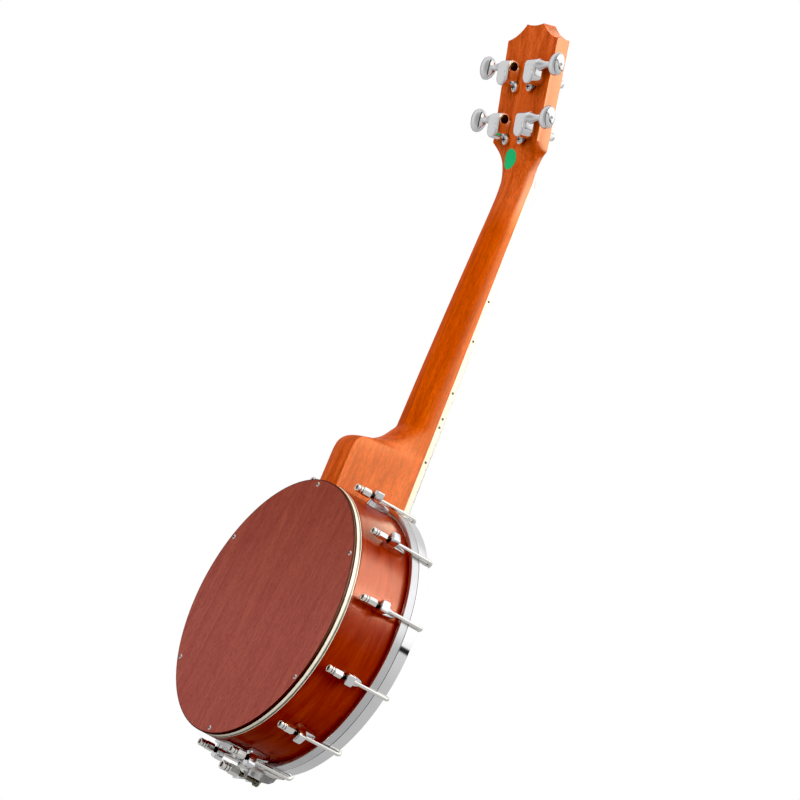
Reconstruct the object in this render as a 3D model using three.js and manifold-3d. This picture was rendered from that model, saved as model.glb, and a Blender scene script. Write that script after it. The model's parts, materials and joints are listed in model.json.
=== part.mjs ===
// A banjo ukulele: a round wooden pot with a stretched head and a closed back, and a bolted-on neck.
// Millimetres. +Z runs up the neck, -Y is the front with the head and strings, +Y is the back.
// The origin is the centre of the back plate's outer face. A depth is a distance from there towards
// -Y, and a hook's angle runs from +Z towards -X.
import * as THREE from "three";
import { mergeVertices } from "three/addons/utils/BufferGeometryUtils.js";
import Module from "manifold-3d";

// Clearances and facets
const GAP = 0.3; // between pieces that touch
const OVERRUN = 4; // how far a cutter runs past what it cuts
const POT_FACETS = 72;
const ROD_FACETS = 8;
const TURNED_FACETS = 12;

// Pot
const POT_RADIUS = 100;
const POT_DEPTH = 61; // the back plate's outer face to the rim's bearing edge
const RIM_WALL = 11;
const BEARING_BEVEL = 1.6;
const PLATE_THICKNESS = 1.6;
const BINDING_DEPTH = 4.8;
const BINDING_WIDTH = 3;

// Head and hoops
const FILM_THICKNESS = 0.7;
const FILM_SKIRT = 5; // how far the film's skirt reaches into the flesh hoop
const FLESH_HOOP_SET = 11.8; // of its rear face behind the rim's bearing edge
const FLESH_HOOP_HEIGHT = 6.3;
const HOOP_WALL = 3.8;
const TENSION_HOOP_HEIGHT = 8.3;

// Hooks and their nuts
const HOOKS_PER_SIDE = 6;
const HOOK_BESIDE_NECK = 8.89; // from the fingerboard's edge out to the hooks on the neck's two sides
const HOOK_BESIDE_HANGER = 14.48; // and from the tail hanger's edge out to the hooks on its two sides
const HOOP_SHIFT = 6.16; // how far round the pot the hooks sit off centre, on their own circle
const HOOK_DIAMETER = 3;
const HOOK_AIR = 0.4; // between a hook's shank and the hoops
const HOOK_BEND = 2.5; // radius of its centre line
const BEND_STEPS = 3;
const HOOK_TOE = 2.9; // how far it reaches over the tension hoop
const HOOK_THREAD = 3; // how far the shank runs into the nut
const HOOK_NUT_REACH = 19.4; // from the shoe's middle back to the nut's outer end
const HOOK_NUT_LENGTH = 15;
const HOOK_NUT_DIAMETER = 5.7;
const HOOK_NUT_MOUTH = 3.2;
const HOOK_NUT_MOUTH_DEPTH = 1.8;
const HOOK_NUT_CHAMFER = 0.7;

// Shoes: a bored block on a foot that reaches forwards, with the screw that holds it from inside
const SHOE_SET = 30.8; // of the block's middle behind the rim's bearing edge
const SHOE_LENGTH = 6.6; // of the block along the hook
const SHOE_WIDTH = 8.6;
const SHOE_END_WALL = 3; // outside the hook's hole
const SHOE_END_ROUND = 1.4;
const SHOE_FOOT_WIDTH = 10.6;
const SHOE_FOOT_BACK = 6; // from the block's middle to the foot's two ends
const SHOE_FOOT_FRONT = 15;
const SHOE_FOOT_HEIGHT = 5.7;
const SHOE_SCREW_DIAMETER = 4;
const SHOE_SCREW_HEAD = 8;
const SHOE_SCREW_HEAD_HEIGHT = 2.4;
const SHOE_SIDES = 12;
// height over the rim, and what is left there of the foot's width, rear end and front end
const SHOE_FOOT_SHARES = [
  [0, 1, 1, 1],
  [0.18, 0.85, 0.7, 0.97],
  [0.44, 0.4, 0.35, 0.88],
  [0.65, 0.1, 0.15, 0.7],
  [0.8, 0, 0.05, 0.2],
  [1, 0, 0, 0],
];
const SHOE_END_SHARE = 0.74;
const SHOE_SQUARE_SHARE = 0.45;

// Scale and neck
const SCALE_LENGTH = 380;
const BRIDGE_SETBACK = 20; // from the pot's axis to the bridge, away from the neck
const NUT_HALF_WIDTH = 16.8;
const BOARD_END_HALF_WIDTH = 23.46; // where the fingerboard meets the pot
const NECK_OVER_RIM = 1.6; // of the neck's flat front past the rim's bearing edge, at the pot
const NECK_FALL = 2.6; // by which that front lies less deep at the nut
const HEEL_BACK = 6.5; // depth of the heel's back
const HEEL_BACK_HALF_WIDTH = 11.6;
const HEEL_LENGTH = 68; // from the pot's side to where the heel has run out
const NECK_THICKNESS_AT_HEEL = 13.8;
const NECK_THICKNESS_AT_NUT = 10.6;
const SECTION_STEPS = 12; // round the neck's back, a multiple of 4
// along the heel, fall of its back, squareness
const HEEL_SHARES = [
  [0.39, 0, 0.85],
  [0.49, 0.015, 0.85],
  [0.555, 0.06, 0.85],
  [0.603, 0.135, 0.83],
  [0.633, 0.27, 0.8],
  [0.66, 0.44, 0.75],
  [0.709, 0.605, 0.6],
  [0.775, 0.75, 0.4],
  [0.88, 0.885, 0.2],
  [1, 1, 0.08],
];
// along the neck from the heel to the nut, share of its thinning
const NECK_SHARES = [
  [0.18, 0.03],
  [0.46, 0.28],
  [0.75, 0.66],
  [0.95, 0.96],
];

// Headstock
const HEAD_TILT = 14.5; // back from the neck
const HEAD_THICKNESS = 10.5;
const HEAD_BEHIND_FRONT = 9; // of its back plane behind the neck's front at the nut
const HEAD_PROUD = 1.4; // by which the neck's back stands over that plane at the nut
const HEAD_CORNER = 34.6; // along the headstock, from the nut to its lower back corners
const HEAD_CORNER_HALF_WIDTH = 29.3;
const HEAD_SHOULDER = 111.3;
const HEAD_SHOULDER_HALF_WIDTH = 33.1;
const HEAD_CROWN_RISE = 11.7; // from the shoulders to the peaks
const HEAD_PEAK_HALF_WIDTH = 10.9;
const HEAD_DIP = 1.2;
const SCOOP_SIDE = 20;
const SCOOP_RISE = 2.2;
const CROWN_STEPS = 6;
// along from the nut to the corners, share of the widening, of the proud back, squareness
const HEAD_FLARE_SHARES = [
  [0.37, 0.16, 0.5, 0.04],
  [0.477, 0.28, 0.25, 0.08],
  [0.575, 0.42, 0, 0.12],
  [0.72, 0.66, 0, 0.25],
  [0.861, 0.99, 0, 0.45],
  [1, 1, 0, 1],
];
const NECK_END_WIDENING_SHARE = 0.05;
const NECK_END_ALONG_SHARE = 0.116;

// Fingerboard, nut and bridge
const BOARD_THICKNESS = 4;
const LAST_FRET_FROM_END = 6; // of the last fret from the fingerboard's end, at least
const SEMITONES = 12; // frets to the octave
const FRET_WIDTH = 2;
const FRET_TOP_WIDTH = 1;
const FRET_HEIGHT = 0.9;
const FRET_SEAT = 0.8;
const FRET_INSET = 0.8;
const NUT_LENGTH = 5;
const NUT_ABOVE_BOARD = 1.5;
const BRIDGE_HALF_WIDTH = 30;
const BRIDGE_HEIGHT = 11.6;
const BRIDGE_BOTTOM_LENGTH = 6;
const BRIDGE_TOP_LENGTH = 2.2;
const BRIDGE_SHOULDER = 5; // by which its top is narrower than its feet, on each side
const BRIDGE_ARCH = 5.2;
const BRIDGE_FOOT = 9;

// Strings, from the +X side
const STRING_DIAMETERS = [0.8, 1, 0.9, 0.7];
const STRING_SPREAD_SHARES = [1, 1 / 3, -1 / 3, -1];
const NUT_STRING_HALF_SPREAD = 13.5;
const BRIDGE_STRING_HALF_SPREAD = 20;
const TAIL_STRING_HALF_SPREAD = 7.5;
const STRING_FACETS = 6;
const STRING_TAIL = 3; // past the post
const STRING_ON_TAIL = 8; // on the tailpiece's plate
const STRING_OVER_BUSHING = 1.6;

// Tuners, each beside its string post
const POST_HALF_SPREAD = 17.8;
const LOWER_POST = 42; // along the headstock from the nut
const UPPER_POST = 81.5;
const POST_DIAMETER = 6;
const POST_OVER_FRONT = 10;
const POST_ROUND = 0.8;
const WORM_ABOVE_POST = 8.5; // from the post's axis up the headstock to the button's axis
const WORM_HEIGHT = 5.4; // of the button's axis over the headstock's back
const WORM_DIAMETER = 4.4;
const WORM_INSIDE = 6.4; // from the post's axis to the shaft's inner end
const WHEEL_DIAMETER = 11.6;
const WHEEL_THICKNESS = 3.4;
const HOUSING_HEIGHT = 10.3;
const HOUSING_WALL = 1.1; // round the wheel
const BARREL_DIAMETER = 9.4;
const BARREL_INNER = 7; // from the post's axis towards the headstock's middle
const BARREL_OUTER = 7.8; // and towards its edge
const COLLAR_LENGTH = 12;
const COLLAR_DIAMETER = 7.2;
const COLLAR_END_DIAMETER = 6;
const EAR_BELOW_POST = 6.6;
const EAR_INSIDE_POST = 7.8;
const EAR_DIAMETER = 6;
const EAR_HEIGHT = 2.6;
const BUTTON_LENGTH = 13.9;
const BUTTON_HEIGHT = 17.8;
const BUTTON_THICKNESS = 9.4;
const BUSHING_DIAMETER = 9.5;
const BUSHING_FLANGE = 1.6;
const BUSHING_SLEEVE = 6;
const BUSHING_WALL = 0.7;
// along the button from its inner side, width, thickness
const BUTTON_SHARES = [
  [0, 0.36, 0.45],
  [0.1, 0.58, 0.66],
  [0.35, 0.9, 0.93],
  [0.6, 1, 1],
  [0.82, 0.95, 0.93],
  [0.95, 0.78, 0.7],
  [1, 0.55, 0.45],
];

// Tailpiece, and what it pulls on
const TAIL_SHEET = 1.5;
const TAIL_HALF_WIDTH = 10;
const TAIL_BEND = 1.2; // bevel outside the bend from its plate to its wall
const TAIL_REACH = 21; // of its plate, in from the hoop's outer side
const TAIL_EAR_SET = 14; // of its ear's rear face behind the rim's bearing edge
const TAIL_EAR_LENGTH = 10;
const TAIL_CHEEK_HALF_WIDTH = 6.5;
// cheek outline: outwards along the ear, and from the ear towards the front
const TAIL_CHEEK_SHARES = [
  [0.96, 0],
  [0.78, 0.64],
  [0.52, 0.86],
  [0, 1],
];
const TAIL_CHEEK_HEIGHT = 14;
const TAIL_BOLT_OUT = 10.5; // from the hoops' outer side to the bolt's axis
const TAIL_BOLT_DIAMETER = 3.6;
const TAIL_BOLT_HEAD = 6.6;
const TAIL_BOLT_HEAD_HEIGHT = 3;
const TAIL_BOLT_THREAD = 9; // how far it runs into its nut
const TAIL_NUT_BACK = 18.2; // depth of the nut's outer end
const TAIL_NUT_DIAMETER = 7;
const TAIL_NUT_CHAMFER = 0.9;
const HANGER_SHEET = 1.9;
const HANGER_HALF_WIDTH = 8.5;
const HANGER_BACK = 11; // depth of its upper end
const HANGER_EAR_SET = 24.2; // of its ear's front face behind the rim's bearing edge
const HANGER_EAR_MARGIN = 3.4; // of the ear past the bolt's axis

// Rod across the pot, which ties the neck to the tail
const ROD_DEPTH = 30;
const ROD_DIAMETER = 8;
const STUD_DIAMETER = 6;
const STUD_IN_HEEL = 24;
const STUD_PAST_NUT = 1;
const ROD_NUT_ACROSS = 10; // its flats
const ROD_NUT_SIDES = 6;
const ROD_NUT_HEIGHT = 4.4;

// Places worked out from the sizes
const rimInner = POT_RADIUS - RIM_WALL;
const rimBack = PLATE_THICKNESS + GAP;
const bindingFront = rimBack + BINDING_DEPTH;
const filmInner = POT_RADIUS + GAP;
const filmOuter = filmInner + FILM_THICKNESS;
const filmBack = POT_DEPTH + GAP;
const filmFront = filmBack + FILM_THICKNESS;
const hoopInner = filmOuter + GAP;
const hoopOuter = hoopInner + HOOP_WALL;
const fleshBack = POT_DEPTH - FLESH_HOOP_SET;
const fleshFront = fleshBack + FLESH_HOOP_HEIGHT;
const tensionBack = fleshFront + GAP;
const tensionFront = tensionBack + TENSION_HOOP_HEIGHT;
const neckFrontAtPot = POT_DEPTH + NECK_OVER_RIM;
const shoeDepth = POT_DEPTH - SHOE_SET;
const hookNutBack = shoeDepth - HOOK_NUT_REACH;
const hookRadius = HOOK_DIAMETER / 2;
const hookAxis = hoopOuter + HOOK_AIR + hookRadius;
const neckBase = hoopOuter + GAP;
const bridgeZ = -BRIDGE_SETBACK;
const nutZ = bridgeZ + SCALE_LENGTH;
const nutEnd = nutZ + NUT_LENGTH;
const heelEnd = POT_RADIUS + HEEL_LENGTH;
const headPeak = HEAD_SHOULDER + HEAD_CROWN_RISE;
const headTilt = THREE.MathUtils.degToRad(HEAD_TILT);
const headFrame = new THREE.Group();
headFrame.position.set(0, HEAD_BEHIND_FRONT + NECK_FALL - neckFrontAtPot, nutZ);
headFrame.rotation.x = -headTilt;
headFrame.updateMatrix();

// Depth of the neck's flat front, and half of the fingerboard's width, at a height up the neck
function neckFront(z) {
  return neckFrontAtPot - (NECK_FALL * (z - neckBase)) / (nutZ - neckBase);
}
function boardHalfWidth(z) {
  const share = (z - neckBase) / (nutZ - neckBase);
  return THREE.MathUtils.lerp(BOARD_END_HALF_WIDTH, NUT_HALF_WIDTH, share);
}
function boardTop(z) {
  return neckFront(z) + GAP + BOARD_THICKNESS;
}

const wasm = await Module();
wasm.setup();

// A closed geometry as a solid that can be cut and joined
function solid(geometry) {
  const plain = geometry.clone();
  plain.deleteAttribute("normal");
  plain.deleteAttribute("uv");
  const merged = mergeVertices(plain);
  const vertProperties = merged.attributes.position.array;
  const triVerts = new Uint32Array(merged.index.array);
  return new wasm.Manifold(new wasm.Mesh({ numProp: 3, vertProperties, triVerts }));
}

function geometryOf(manifold) {
  const mesh = manifold.getMesh();
  const geometry = new THREE.BufferGeometry();
  geometry.setAttribute("position", new THREE.BufferAttribute(mesh.vertProperties, 3));
  geometry.setIndex(new THREE.BufferAttribute(mesh.triVerts, 1));
  const flat = geometry.toNonIndexed();
  flat.computeVertexNormals();
  return flat;
}

// A closed skin over a row of rings that have the same number of points
function loft(rings) {
  const sides = rings[0].length;
  const points = rings.flat();
  const faces = [];
  for (let r = 0; r < rings.length - 1; r++) {
    for (let i = 0; i < sides; i++) {
      const a = r * sides + i;
      const b = r * sides + ((i + 1) % sides);
      faces.push([a, b, b + sides], [a, b + sides, a + sides]);
    }
  }
  const last = (rings.length - 1) * sides;
  for (let i = 1; i < sides - 1; i++) {
    faces.push([0, i + 1, i], [last, last + i, last + i + 1]);
  }
  let volume = 0;
  for (const [a, b, c] of faces) {
    volume += points[a].dot(points[b].clone().cross(points[c]));
  }
  if (volume < 0) faces.forEach((face) => face.reverse());
  const geometry = new THREE.BufferGeometry().setFromPoints(points);
  geometry.setIndex(faces.flat());
  return geometry;
}

// A round bar through points, its side vector square to its bends, with closed ends
function bar(points, radius, facets, side = new THREE.Vector3(1, 0, 0)) {
  const rings = points.map((point, i) => {
    const before = points[Math.max(i - 1, 0)];
    const after = points[Math.min(i + 1, points.length - 1)];
    const into = point.clone().sub(before).normalize();
    const out = after.clone().sub(point).normalize();
    const along = into.add(out).normalize();
    const across = side.clone().addScaledVector(along, -side.dot(along)).normalize();
    const up = along.clone().cross(across);
    return Array.from({ length: facets }, (_, k) => {
      const turn = (2 * Math.PI * (k + 1 / 2)) / facets;
      return point
        .clone()
        .addScaledVector(across, radius * Math.cos(turn))
        .addScaledVector(up, radius * Math.sin(turn));
    });
  });
  return loft(rings);
}

// A ring or disc round the Y axis from [radius, y] points, given so that its faces point out
function turned(profile, facets = TURNED_FACETS) {
  const points = profile.map(([radius, y]) => new THREE.Vector2(radius, y));
  let area = 0;
  points.forEach((p, i) => {
    area += p.cross(points[(i + 1) % points.length]);
  });
  if (area < 0) points.reverse();
  if (points.every((p) => p.x > 0)) {
    points.push(points[0].clone());
  } else {
    while (points[0].x > 0 || points[points.length - 1].x > 0) points.push(points.shift());
  }
  return new THREE.LatheGeometry(points, facets);
}

function box(width, depth, height, x, y, z) {
  return new THREE.BoxGeometry(width, depth, height).translate(x, y, z);
}

// An outline given as [z, y] points, extruded along X over a width that is centred at x
function strip(outline, width, x = 0) {
  const shape = new THREE.Shape(outline.map(([z, y]) => new THREE.Vector2(-z, y)));
  const geometry = new THREE.ExtrudeGeometry(shape, { depth: width, bevelEnabled: false });
  return geometry.rotateY(Math.PI / 2).translate(x - width / 2, 0, 0);
}

const banjoUkulele = new THREE.Group();
banjoUkulele.add(headFrame);

function piece(name, geometry, [color, roughness, metalness], parent = banjoUkulele) {
  const material = new THREE.MeshStandardMaterial({ color, roughness, metalness });
  const mesh = new THREE.Mesh(geometry, material);
  mesh.name = name;
  parent.add(mesh);
  return mesh;
}

// Looks: colour, roughness and metalness
const RIM_WOOD = [0x8a2a12, 0.18, 0];
const BACK_WOOD = [0x6d3626, 0.55, 0];
const NECK_WOOD = [0xa95f33, 0.45, 0];
const BOARD_WOOD = [0x33201a, 0.5, 0];
const CREAM = [0xf1e6c8, 0.35, 0];
const MAPLE = [0xd9b98a, 0.5, 0];
const FILM = [0xf4f2ec, 0.5, 0];
const CHROME = [0xd7dadd, 0.12, 1];
const ALUMINIUM = [0xc9ccd0, 0.28, 1];
const STEEL = [0x9b9ea2, 0.35, 1];
const PEARL = [0xe9e6df, 0.3, 0];

// Pot: rim with a rabbet for the binding, and its back
const rimProfile = [
  [rimInner, -rimBack],
  [POT_RADIUS - BINDING_WIDTH - GAP, -rimBack],
  [POT_RADIUS - BINDING_WIDTH - GAP, -bindingFront - GAP],
  [POT_RADIUS, -bindingFront - GAP],
  [POT_RADIUS, -POT_DEPTH + BEARING_BEVEL],
  [POT_RADIUS - BEARING_BEVEL, -POT_DEPTH],
  [rimInner + BEARING_BEVEL, -POT_DEPTH],
  [rimInner, -POT_DEPTH + BEARING_BEVEL],
];
let rim = solid(turned(rimProfile, POT_FACETS));

const hookAngles = [];
const firstHookTurn = Math.asin((BOARD_END_HALF_WIDTH + HOOK_BESIDE_NECK) / hookAxis);
const lastHookTurn = Math.PI - Math.asin((HANGER_HALF_WIDTH + HOOK_BESIDE_HANGER) / hookAxis);
for (const side of [1, -1]) {
  for (let i = 0; i < HOOKS_PER_SIDE; i++) {
    const share = i / (HOOKS_PER_SIDE - 1);
    const turn = THREE.MathUtils.lerp(firstHookTurn, lastHookTurn, share);
    hookAngles.push(HOOP_SHIFT / hookAxis + side * turn);
  }
}

const rimCutterLength = RIM_WALL + 2 * OVERRUN;
const rimCutterMiddle = POT_RADIUS - RIM_WALL / 2;
function radialHole(diameter, depth, angle) {
  const cutter = new THREE.CylinderGeometry(diameter / 2, diameter / 2, rimCutterLength, ROD_FACETS);
  cutter.rotateX(Math.PI / 2).translate(0, -depth, rimCutterMiddle).rotateY(-angle);
  return solid(cutter);
}
for (const angle of hookAngles) {
  rim = rim.subtract(radialHole(SHOE_SCREW_DIAMETER + 2 * GAP, shoeDepth, angle));
}
for (const angle of [0, Math.PI]) {
  rim = rim.subtract(radialHole(STUD_DIAMETER + 2 * GAP, ROD_DEPTH, angle));
}
piece("rim", geometryOf(rim), RIM_WOOD);

const plateProfile = [
  [0, 0],
  [POT_RADIUS, 0],
  [POT_RADIUS, -PLATE_THICKNESS],
  [0, -PLATE_THICKNESS],
];
piece("back_plate", turned(plateProfile, POT_FACETS), BACK_WOOD);

const bindingProfile = [
  [POT_RADIUS - BINDING_WIDTH, -rimBack],
  [POT_RADIUS, -rimBack],
  [POT_RADIUS, -bindingFront],
  [POT_RADIUS - BINDING_WIDTH, -bindingFront],
];
piece("back_binding", turned(bindingProfile, POT_FACETS), CREAM);

// Head: a film with a skirt, set in the flesh hoop, and the tension hoop that pulls it down
const filmProfile = [
  [0, -filmFront],
  [filmInner, -filmFront],
  [filmOuter, -filmBack],
  [filmOuter, -fleshFront + FILM_SKIRT],
  [filmInner, -fleshFront + FILM_SKIRT],
  [filmInner, -POT_DEPTH + BEARING_BEVEL],
  [POT_RADIUS - BEARING_BEVEL, -filmBack],
  [0, -filmBack],
];
piece("drum_head", turned(filmProfile, POT_FACETS), FILM);

function hoop(back, front) {
  const profile = [
    [hoopInner, -back],
    [hoopOuter, -back],
    [hoopOuter, -front],
    [hoopInner, -front],
  ];
  return turned(profile, POT_FACETS);
}
piece("flesh_hoop", hoop(fleshBack, fleshFront), ALUMINIUM);

piece("tension_hoop", hoop(tensionBack, tensionFront), CHROME);

// Shoe on the +Z side of the pot
function shoeRing(radius, halfWidth, back, front) {
  const halfLength = (back + front) / 2;
  const middle = shoeDepth + (front - back) / 2;
  return Array.from({ length: SHOE_SIDES }, (_, i) => {
    const turn = (2 * Math.PI * (i + 1 / 2)) / SHOE_SIDES;
    const across = Math.sign(Math.cos(turn)) * Math.abs(Math.cos(turn)) ** SHOE_SQUARE_SHARE;
    const along = Math.sign(Math.sin(turn)) * Math.abs(Math.sin(turn)) ** SHOE_SQUARE_SHARE;
    return new THREE.Vector3(halfWidth * across, halfLength * along - middle, radius);
  });
}
const shoeBase = POT_RADIUS + GAP;
const shoeHalf = SHOE_LENGTH / 2;
const shoeEnd = hookAxis + hookRadius + GAP + SHOE_END_WALL - SHOE_END_ROUND;
const shoeRings = SHOE_FOOT_SHARES.map(([height, width, back, front]) =>
  shoeRing(
    shoeBase + height * SHOE_FOOT_HEIGHT,
    THREE.MathUtils.lerp(SHOE_WIDTH, SHOE_FOOT_WIDTH, width) / 2,
    THREE.MathUtils.lerp(shoeHalf, SHOE_FOOT_BACK, back),
    THREE.MathUtils.lerp(shoeHalf, SHOE_FOOT_FRONT, front),
  ),
);
shoeRings.push(shoeRing(shoeEnd, SHOE_WIDTH / 2, shoeHalf, shoeHalf));
shoeRings.push(
  shoeRing(
    shoeEnd + SHOE_END_ROUND,
    (SHOE_WIDTH / 2) * SHOE_END_SHARE,
    shoeHalf * SHOE_END_SHARE,
    shoeHalf * SHOE_END_SHARE,
  ),
);
const hookBore = new THREE.CylinderGeometry(
  hookRadius + GAP,
  hookRadius + GAP,
  SHOE_LENGTH + 2 * OVERRUN,
  ROD_FACETS,
);
const screwInside = rimInner - GAP - SHOE_SCREW_HEAD_HEIGHT;
const screwProfile = [
  [0, screwInside],
  [SHOE_SCREW_HEAD / 2, screwInside],
  [SHOE_SCREW_HEAD / 2, rimInner - GAP],
  [SHOE_SCREW_DIAMETER / 2, rimInner - GAP],
  [SHOE_SCREW_DIAMETER / 2, shoeBase + SHOE_FOOT_HEIGHT / 2],
  [0, shoeBase + SHOE_FOOT_HEIGHT / 2],
];
const shoeScrew = turned(screwProfile, ROD_FACETS).rotateX(Math.PI / 2).translate(0, -shoeDepth, 0);
const shoe = solid(loft(shoeRings))
  .subtract(solid(hookBore.translate(0, -shoeDepth, hookAxis)))
  .add(solid(shoeScrew));
const shoeGeometry = geometryOf(shoe);

// Hook on the same side: a rod bent over the tension hoop, with its nut
const toeDepth = tensionFront + GAP + hookRadius; // its toe lies on the hoop's front edge
const bendStart = toeDepth - HOOK_BEND;
const hookNutFront = hookNutBack + HOOK_NUT_LENGTH;
const hookPoints = [new THREE.Vector3(0, -hookNutFront + HOOK_THREAD, hookAxis)];
for (let i = 0; i <= BEND_STEPS; i++) {
  const turn = (Math.PI / 2) * (i / BEND_STEPS);
  const y = -bendStart - HOOK_BEND * Math.sin(turn);
  hookPoints.push(new THREE.Vector3(0, y, hookAxis - HOOK_BEND * (1 - Math.cos(turn))));
}
hookPoints.push(new THREE.Vector3(0, -toeDepth, hoopOuter - HOOK_TOE));
const hookNutRadius = HOOK_NUT_DIAMETER / 2;
const hookNutProfile = [
  [0, -hookNutBack - HOOK_NUT_MOUTH_DEPTH],
  [HOOK_NUT_MOUTH / 2, -hookNutBack - HOOK_NUT_MOUTH_DEPTH],
  [HOOK_NUT_MOUTH / 2, -hookNutBack],
  [hookNutRadius - HOOK_NUT_CHAMFER, -hookNutBack],
  [hookNutRadius, -hookNutBack - HOOK_NUT_CHAMFER],
  [hookNutRadius, -hookNutFront],
  [0, -hookNutFront],
];
const hook = solid(bar(hookPoints, hookRadius, ROD_FACETS)).add(
  solid(turned(hookNutProfile).translate(0, 0, hookAxis)),
);
const hookGeometry = geometryOf(hook);

hookAngles.forEach((angle, i) => {
  const place = new THREE.Group();
  place.rotation.y = -angle;
  banjoUkulele.add(place);
  piece(`shoe_${i + 1}`, shoeGeometry, CHROME, place);
  piece(`hook_${i + 1}`, hookGeometry, CHROME, place);
});

// Neck: sections from the heel to the headstock, each flat in front and round or square behind
function neckSection(front, back, halfWidth, backHalfWidth, square) {
  const quarter = SECTION_STEPS / 4;
  return Array.from({ length: SECTION_STEPS + 1 }, (_, i) => {
    const turn = (Math.PI * i) / SECTION_STEPS;
    const flank = Math.min(i, SECTION_STEPS - i, quarter) / quarter;
    const across = Math.min(Math.max((SECTION_STEPS / 2 - i) / quarter, -1), 1);
    const boxHalfWidth = THREE.MathUtils.lerp(halfWidth, backHalfWidth, flank);
    const x = THREE.MathUtils.lerp(halfWidth * Math.cos(turn), boxHalfWidth * across, square);
    const depth = THREE.MathUtils.lerp(Math.sin(turn), flank, square);
    return front.clone().lerp(back, depth).setX(x);
  });
}
function uprightSection(z, backDepth, square) {
  const front = new THREE.Vector3(0, -neckFront(z), z);
  const back = new THREE.Vector3(0, -backDepth, z);
  return neckSection(front, back, boardHalfWidth(z), HEEL_BACK_HALF_WIDTH, square);
}
function headPoint(x, out, along) {
  return new THREE.Vector3(x, out, along).applyMatrix4(headFrame.matrix);
}

const heelRun = neckFront(heelEnd) - NECK_THICKNESS_AT_HEEL - HEEL_BACK;
const sections = [uprightSection(rimInner, HEEL_BACK, HEEL_SHARES[0][2])];
for (const [along, fall, square] of HEEL_SHARES) {
  sections.push(
    uprightSection(POT_RADIUS + along * HEEL_LENGTH, HEEL_BACK + fall * heelRun, square),
  );
}
for (const [along, thinning] of NECK_SHARES) {
  const z = THREE.MathUtils.lerp(heelEnd, nutZ, along);
  const thickness = THREE.MathUtils.lerp(NECK_THICKNESS_AT_HEEL, NECK_THICKNESS_AT_NUT, thinning);
  sections.push(uprightSection(z, neckFront(z) - thickness, 0));
}
const headWidening = HEAD_CORNER_HALF_WIDTH - NUT_HALF_WIDTH;
const neckEndHalfWidth = NUT_HALF_WIDTH + NECK_END_WIDENING_SHARE * headWidening;
sections.push(
  neckSection(
    new THREE.Vector3(0, -neckFront(nutEnd), nutEnd),
    headPoint(0, HEAD_PROUD, NECK_END_ALONG_SHARE * HEAD_CORNER),
    neckEndHalfWidth,
    neckEndHalfWidth,
    0,
  ),
);
function headSection(along, halfWidth, out, square) {
  const front = headPoint(0, -HEAD_THICKNESS, along);
  return neckSection(front, headPoint(0, out, along), halfWidth, halfWidth, square);
}
for (const [along, widening, proud, square] of HEAD_FLARE_SHARES) {
  const halfWidth = NUT_HALF_WIDTH + widening * headWidening;
  sections.push(headSection(along * HEAD_CORNER, halfWidth, proud * HEAD_PROUD, square));
}
sections.push(headSection(HEAD_SHOULDER, HEAD_SHOULDER_HALF_WIDTH, 0, 1));
sections.push(headSection(headPeak + OVERRUN, HEAD_SHOULDER_HALF_WIDTH, 0, 1));

// What the pot takes out of the heel: the rim behind, and the hoops in front
const hoopCutBack = fleshBack - GAP;
const potCutFront = neckFrontAtPot + OVERRUN;
const potProfile = [
  [0, OVERRUN],
  [shoeBase, OVERRUN],
  [shoeBase, -hoopCutBack],
  [neckBase, -hoopCutBack],
  [neckBase, -potCutFront],
  [0, -potCutFront],
];

// The headstock's crown: shoulders, scoops and a shallow dip between two peaks
const crown = new THREE.Shape();
const crownSide = HEAD_SHOULDER_HALF_WIDTH + OVERRUN;
const crownTop = headPeak + 2 * OVERRUN;
crown.moveTo(-crownSide, crownTop);
crown.lineTo(-crownSide, HEAD_SHOULDER);
crown.lineTo(-HEAD_SHOULDER_HALF_WIDTH, HEAD_SHOULDER);
crown.quadraticCurveTo(-SCOOP_SIDE, HEAD_SHOULDER + SCOOP_RISE, -HEAD_PEAK_HALF_WIDTH, headPeak);
crown.quadraticCurveTo(0, headPeak - 2 * HEAD_DIP, HEAD_PEAK_HALF_WIDTH, headPeak);
crown.quadraticCurveTo(SCOOP_SIDE, HEAD_SHOULDER + SCOOP_RISE, HEAD_SHOULDER_HALF_WIDTH, HEAD_SHOULDER);
crown.lineTo(crownSide, HEAD_SHOULDER);
crown.lineTo(crownSide, crownTop);
const crownCutter = new THREE.ExtrudeGeometry(crown, {
  depth: HEAD_THICKNESS + 2 * OVERRUN,
  bevelEnabled: false,
  curveSegments: CROWN_STEPS,
});
crownCutter.rotateX(Math.PI / 2).translate(0, OVERRUN, 0).applyMatrix4(headFrame.matrix);

const sleeveRadius = POST_DIAMETER / 2 + GAP + BUSHING_WALL;
const postPlaces = [
  [1, LOWER_POST],
  [-1, LOWER_POST],
  [1, UPPER_POST],
  [-1, UPPER_POST],
];
const studTip = POT_RADIUS + STUD_IN_HEEL;
const studBore = new THREE.CylinderGeometry(
  STUD_DIAMETER / 2 + GAP,
  STUD_DIAMETER / 2 + GAP,
  studTip + GAP,
  ROD_FACETS,
);
studBore.rotateX(Math.PI / 2).translate(0, -ROD_DEPTH, (studTip + GAP) / 2);
let neck = solid(loft(sections))
  .subtract(solid(turned(potProfile, POT_FACETS)))
  .subtract(solid(crownCutter))
  .subtract(solid(studBore));
for (const [side, along] of postPlaces) {
  const hole = new THREE.CylinderGeometry(
    sleeveRadius + GAP,
    sleeveRadius + GAP,
    HEAD_THICKNESS + 2 * OVERRUN,
    TURNED_FACETS,
  );
  hole.translate(side * POST_HALF_SPREAD, -HEAD_THICKNESS / 2, along).applyMatrix4(headFrame.matrix);
  neck = neck.subtract(solid(hole));
}
piece("neck", geometryOf(neck), NECK_WOOD);

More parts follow.
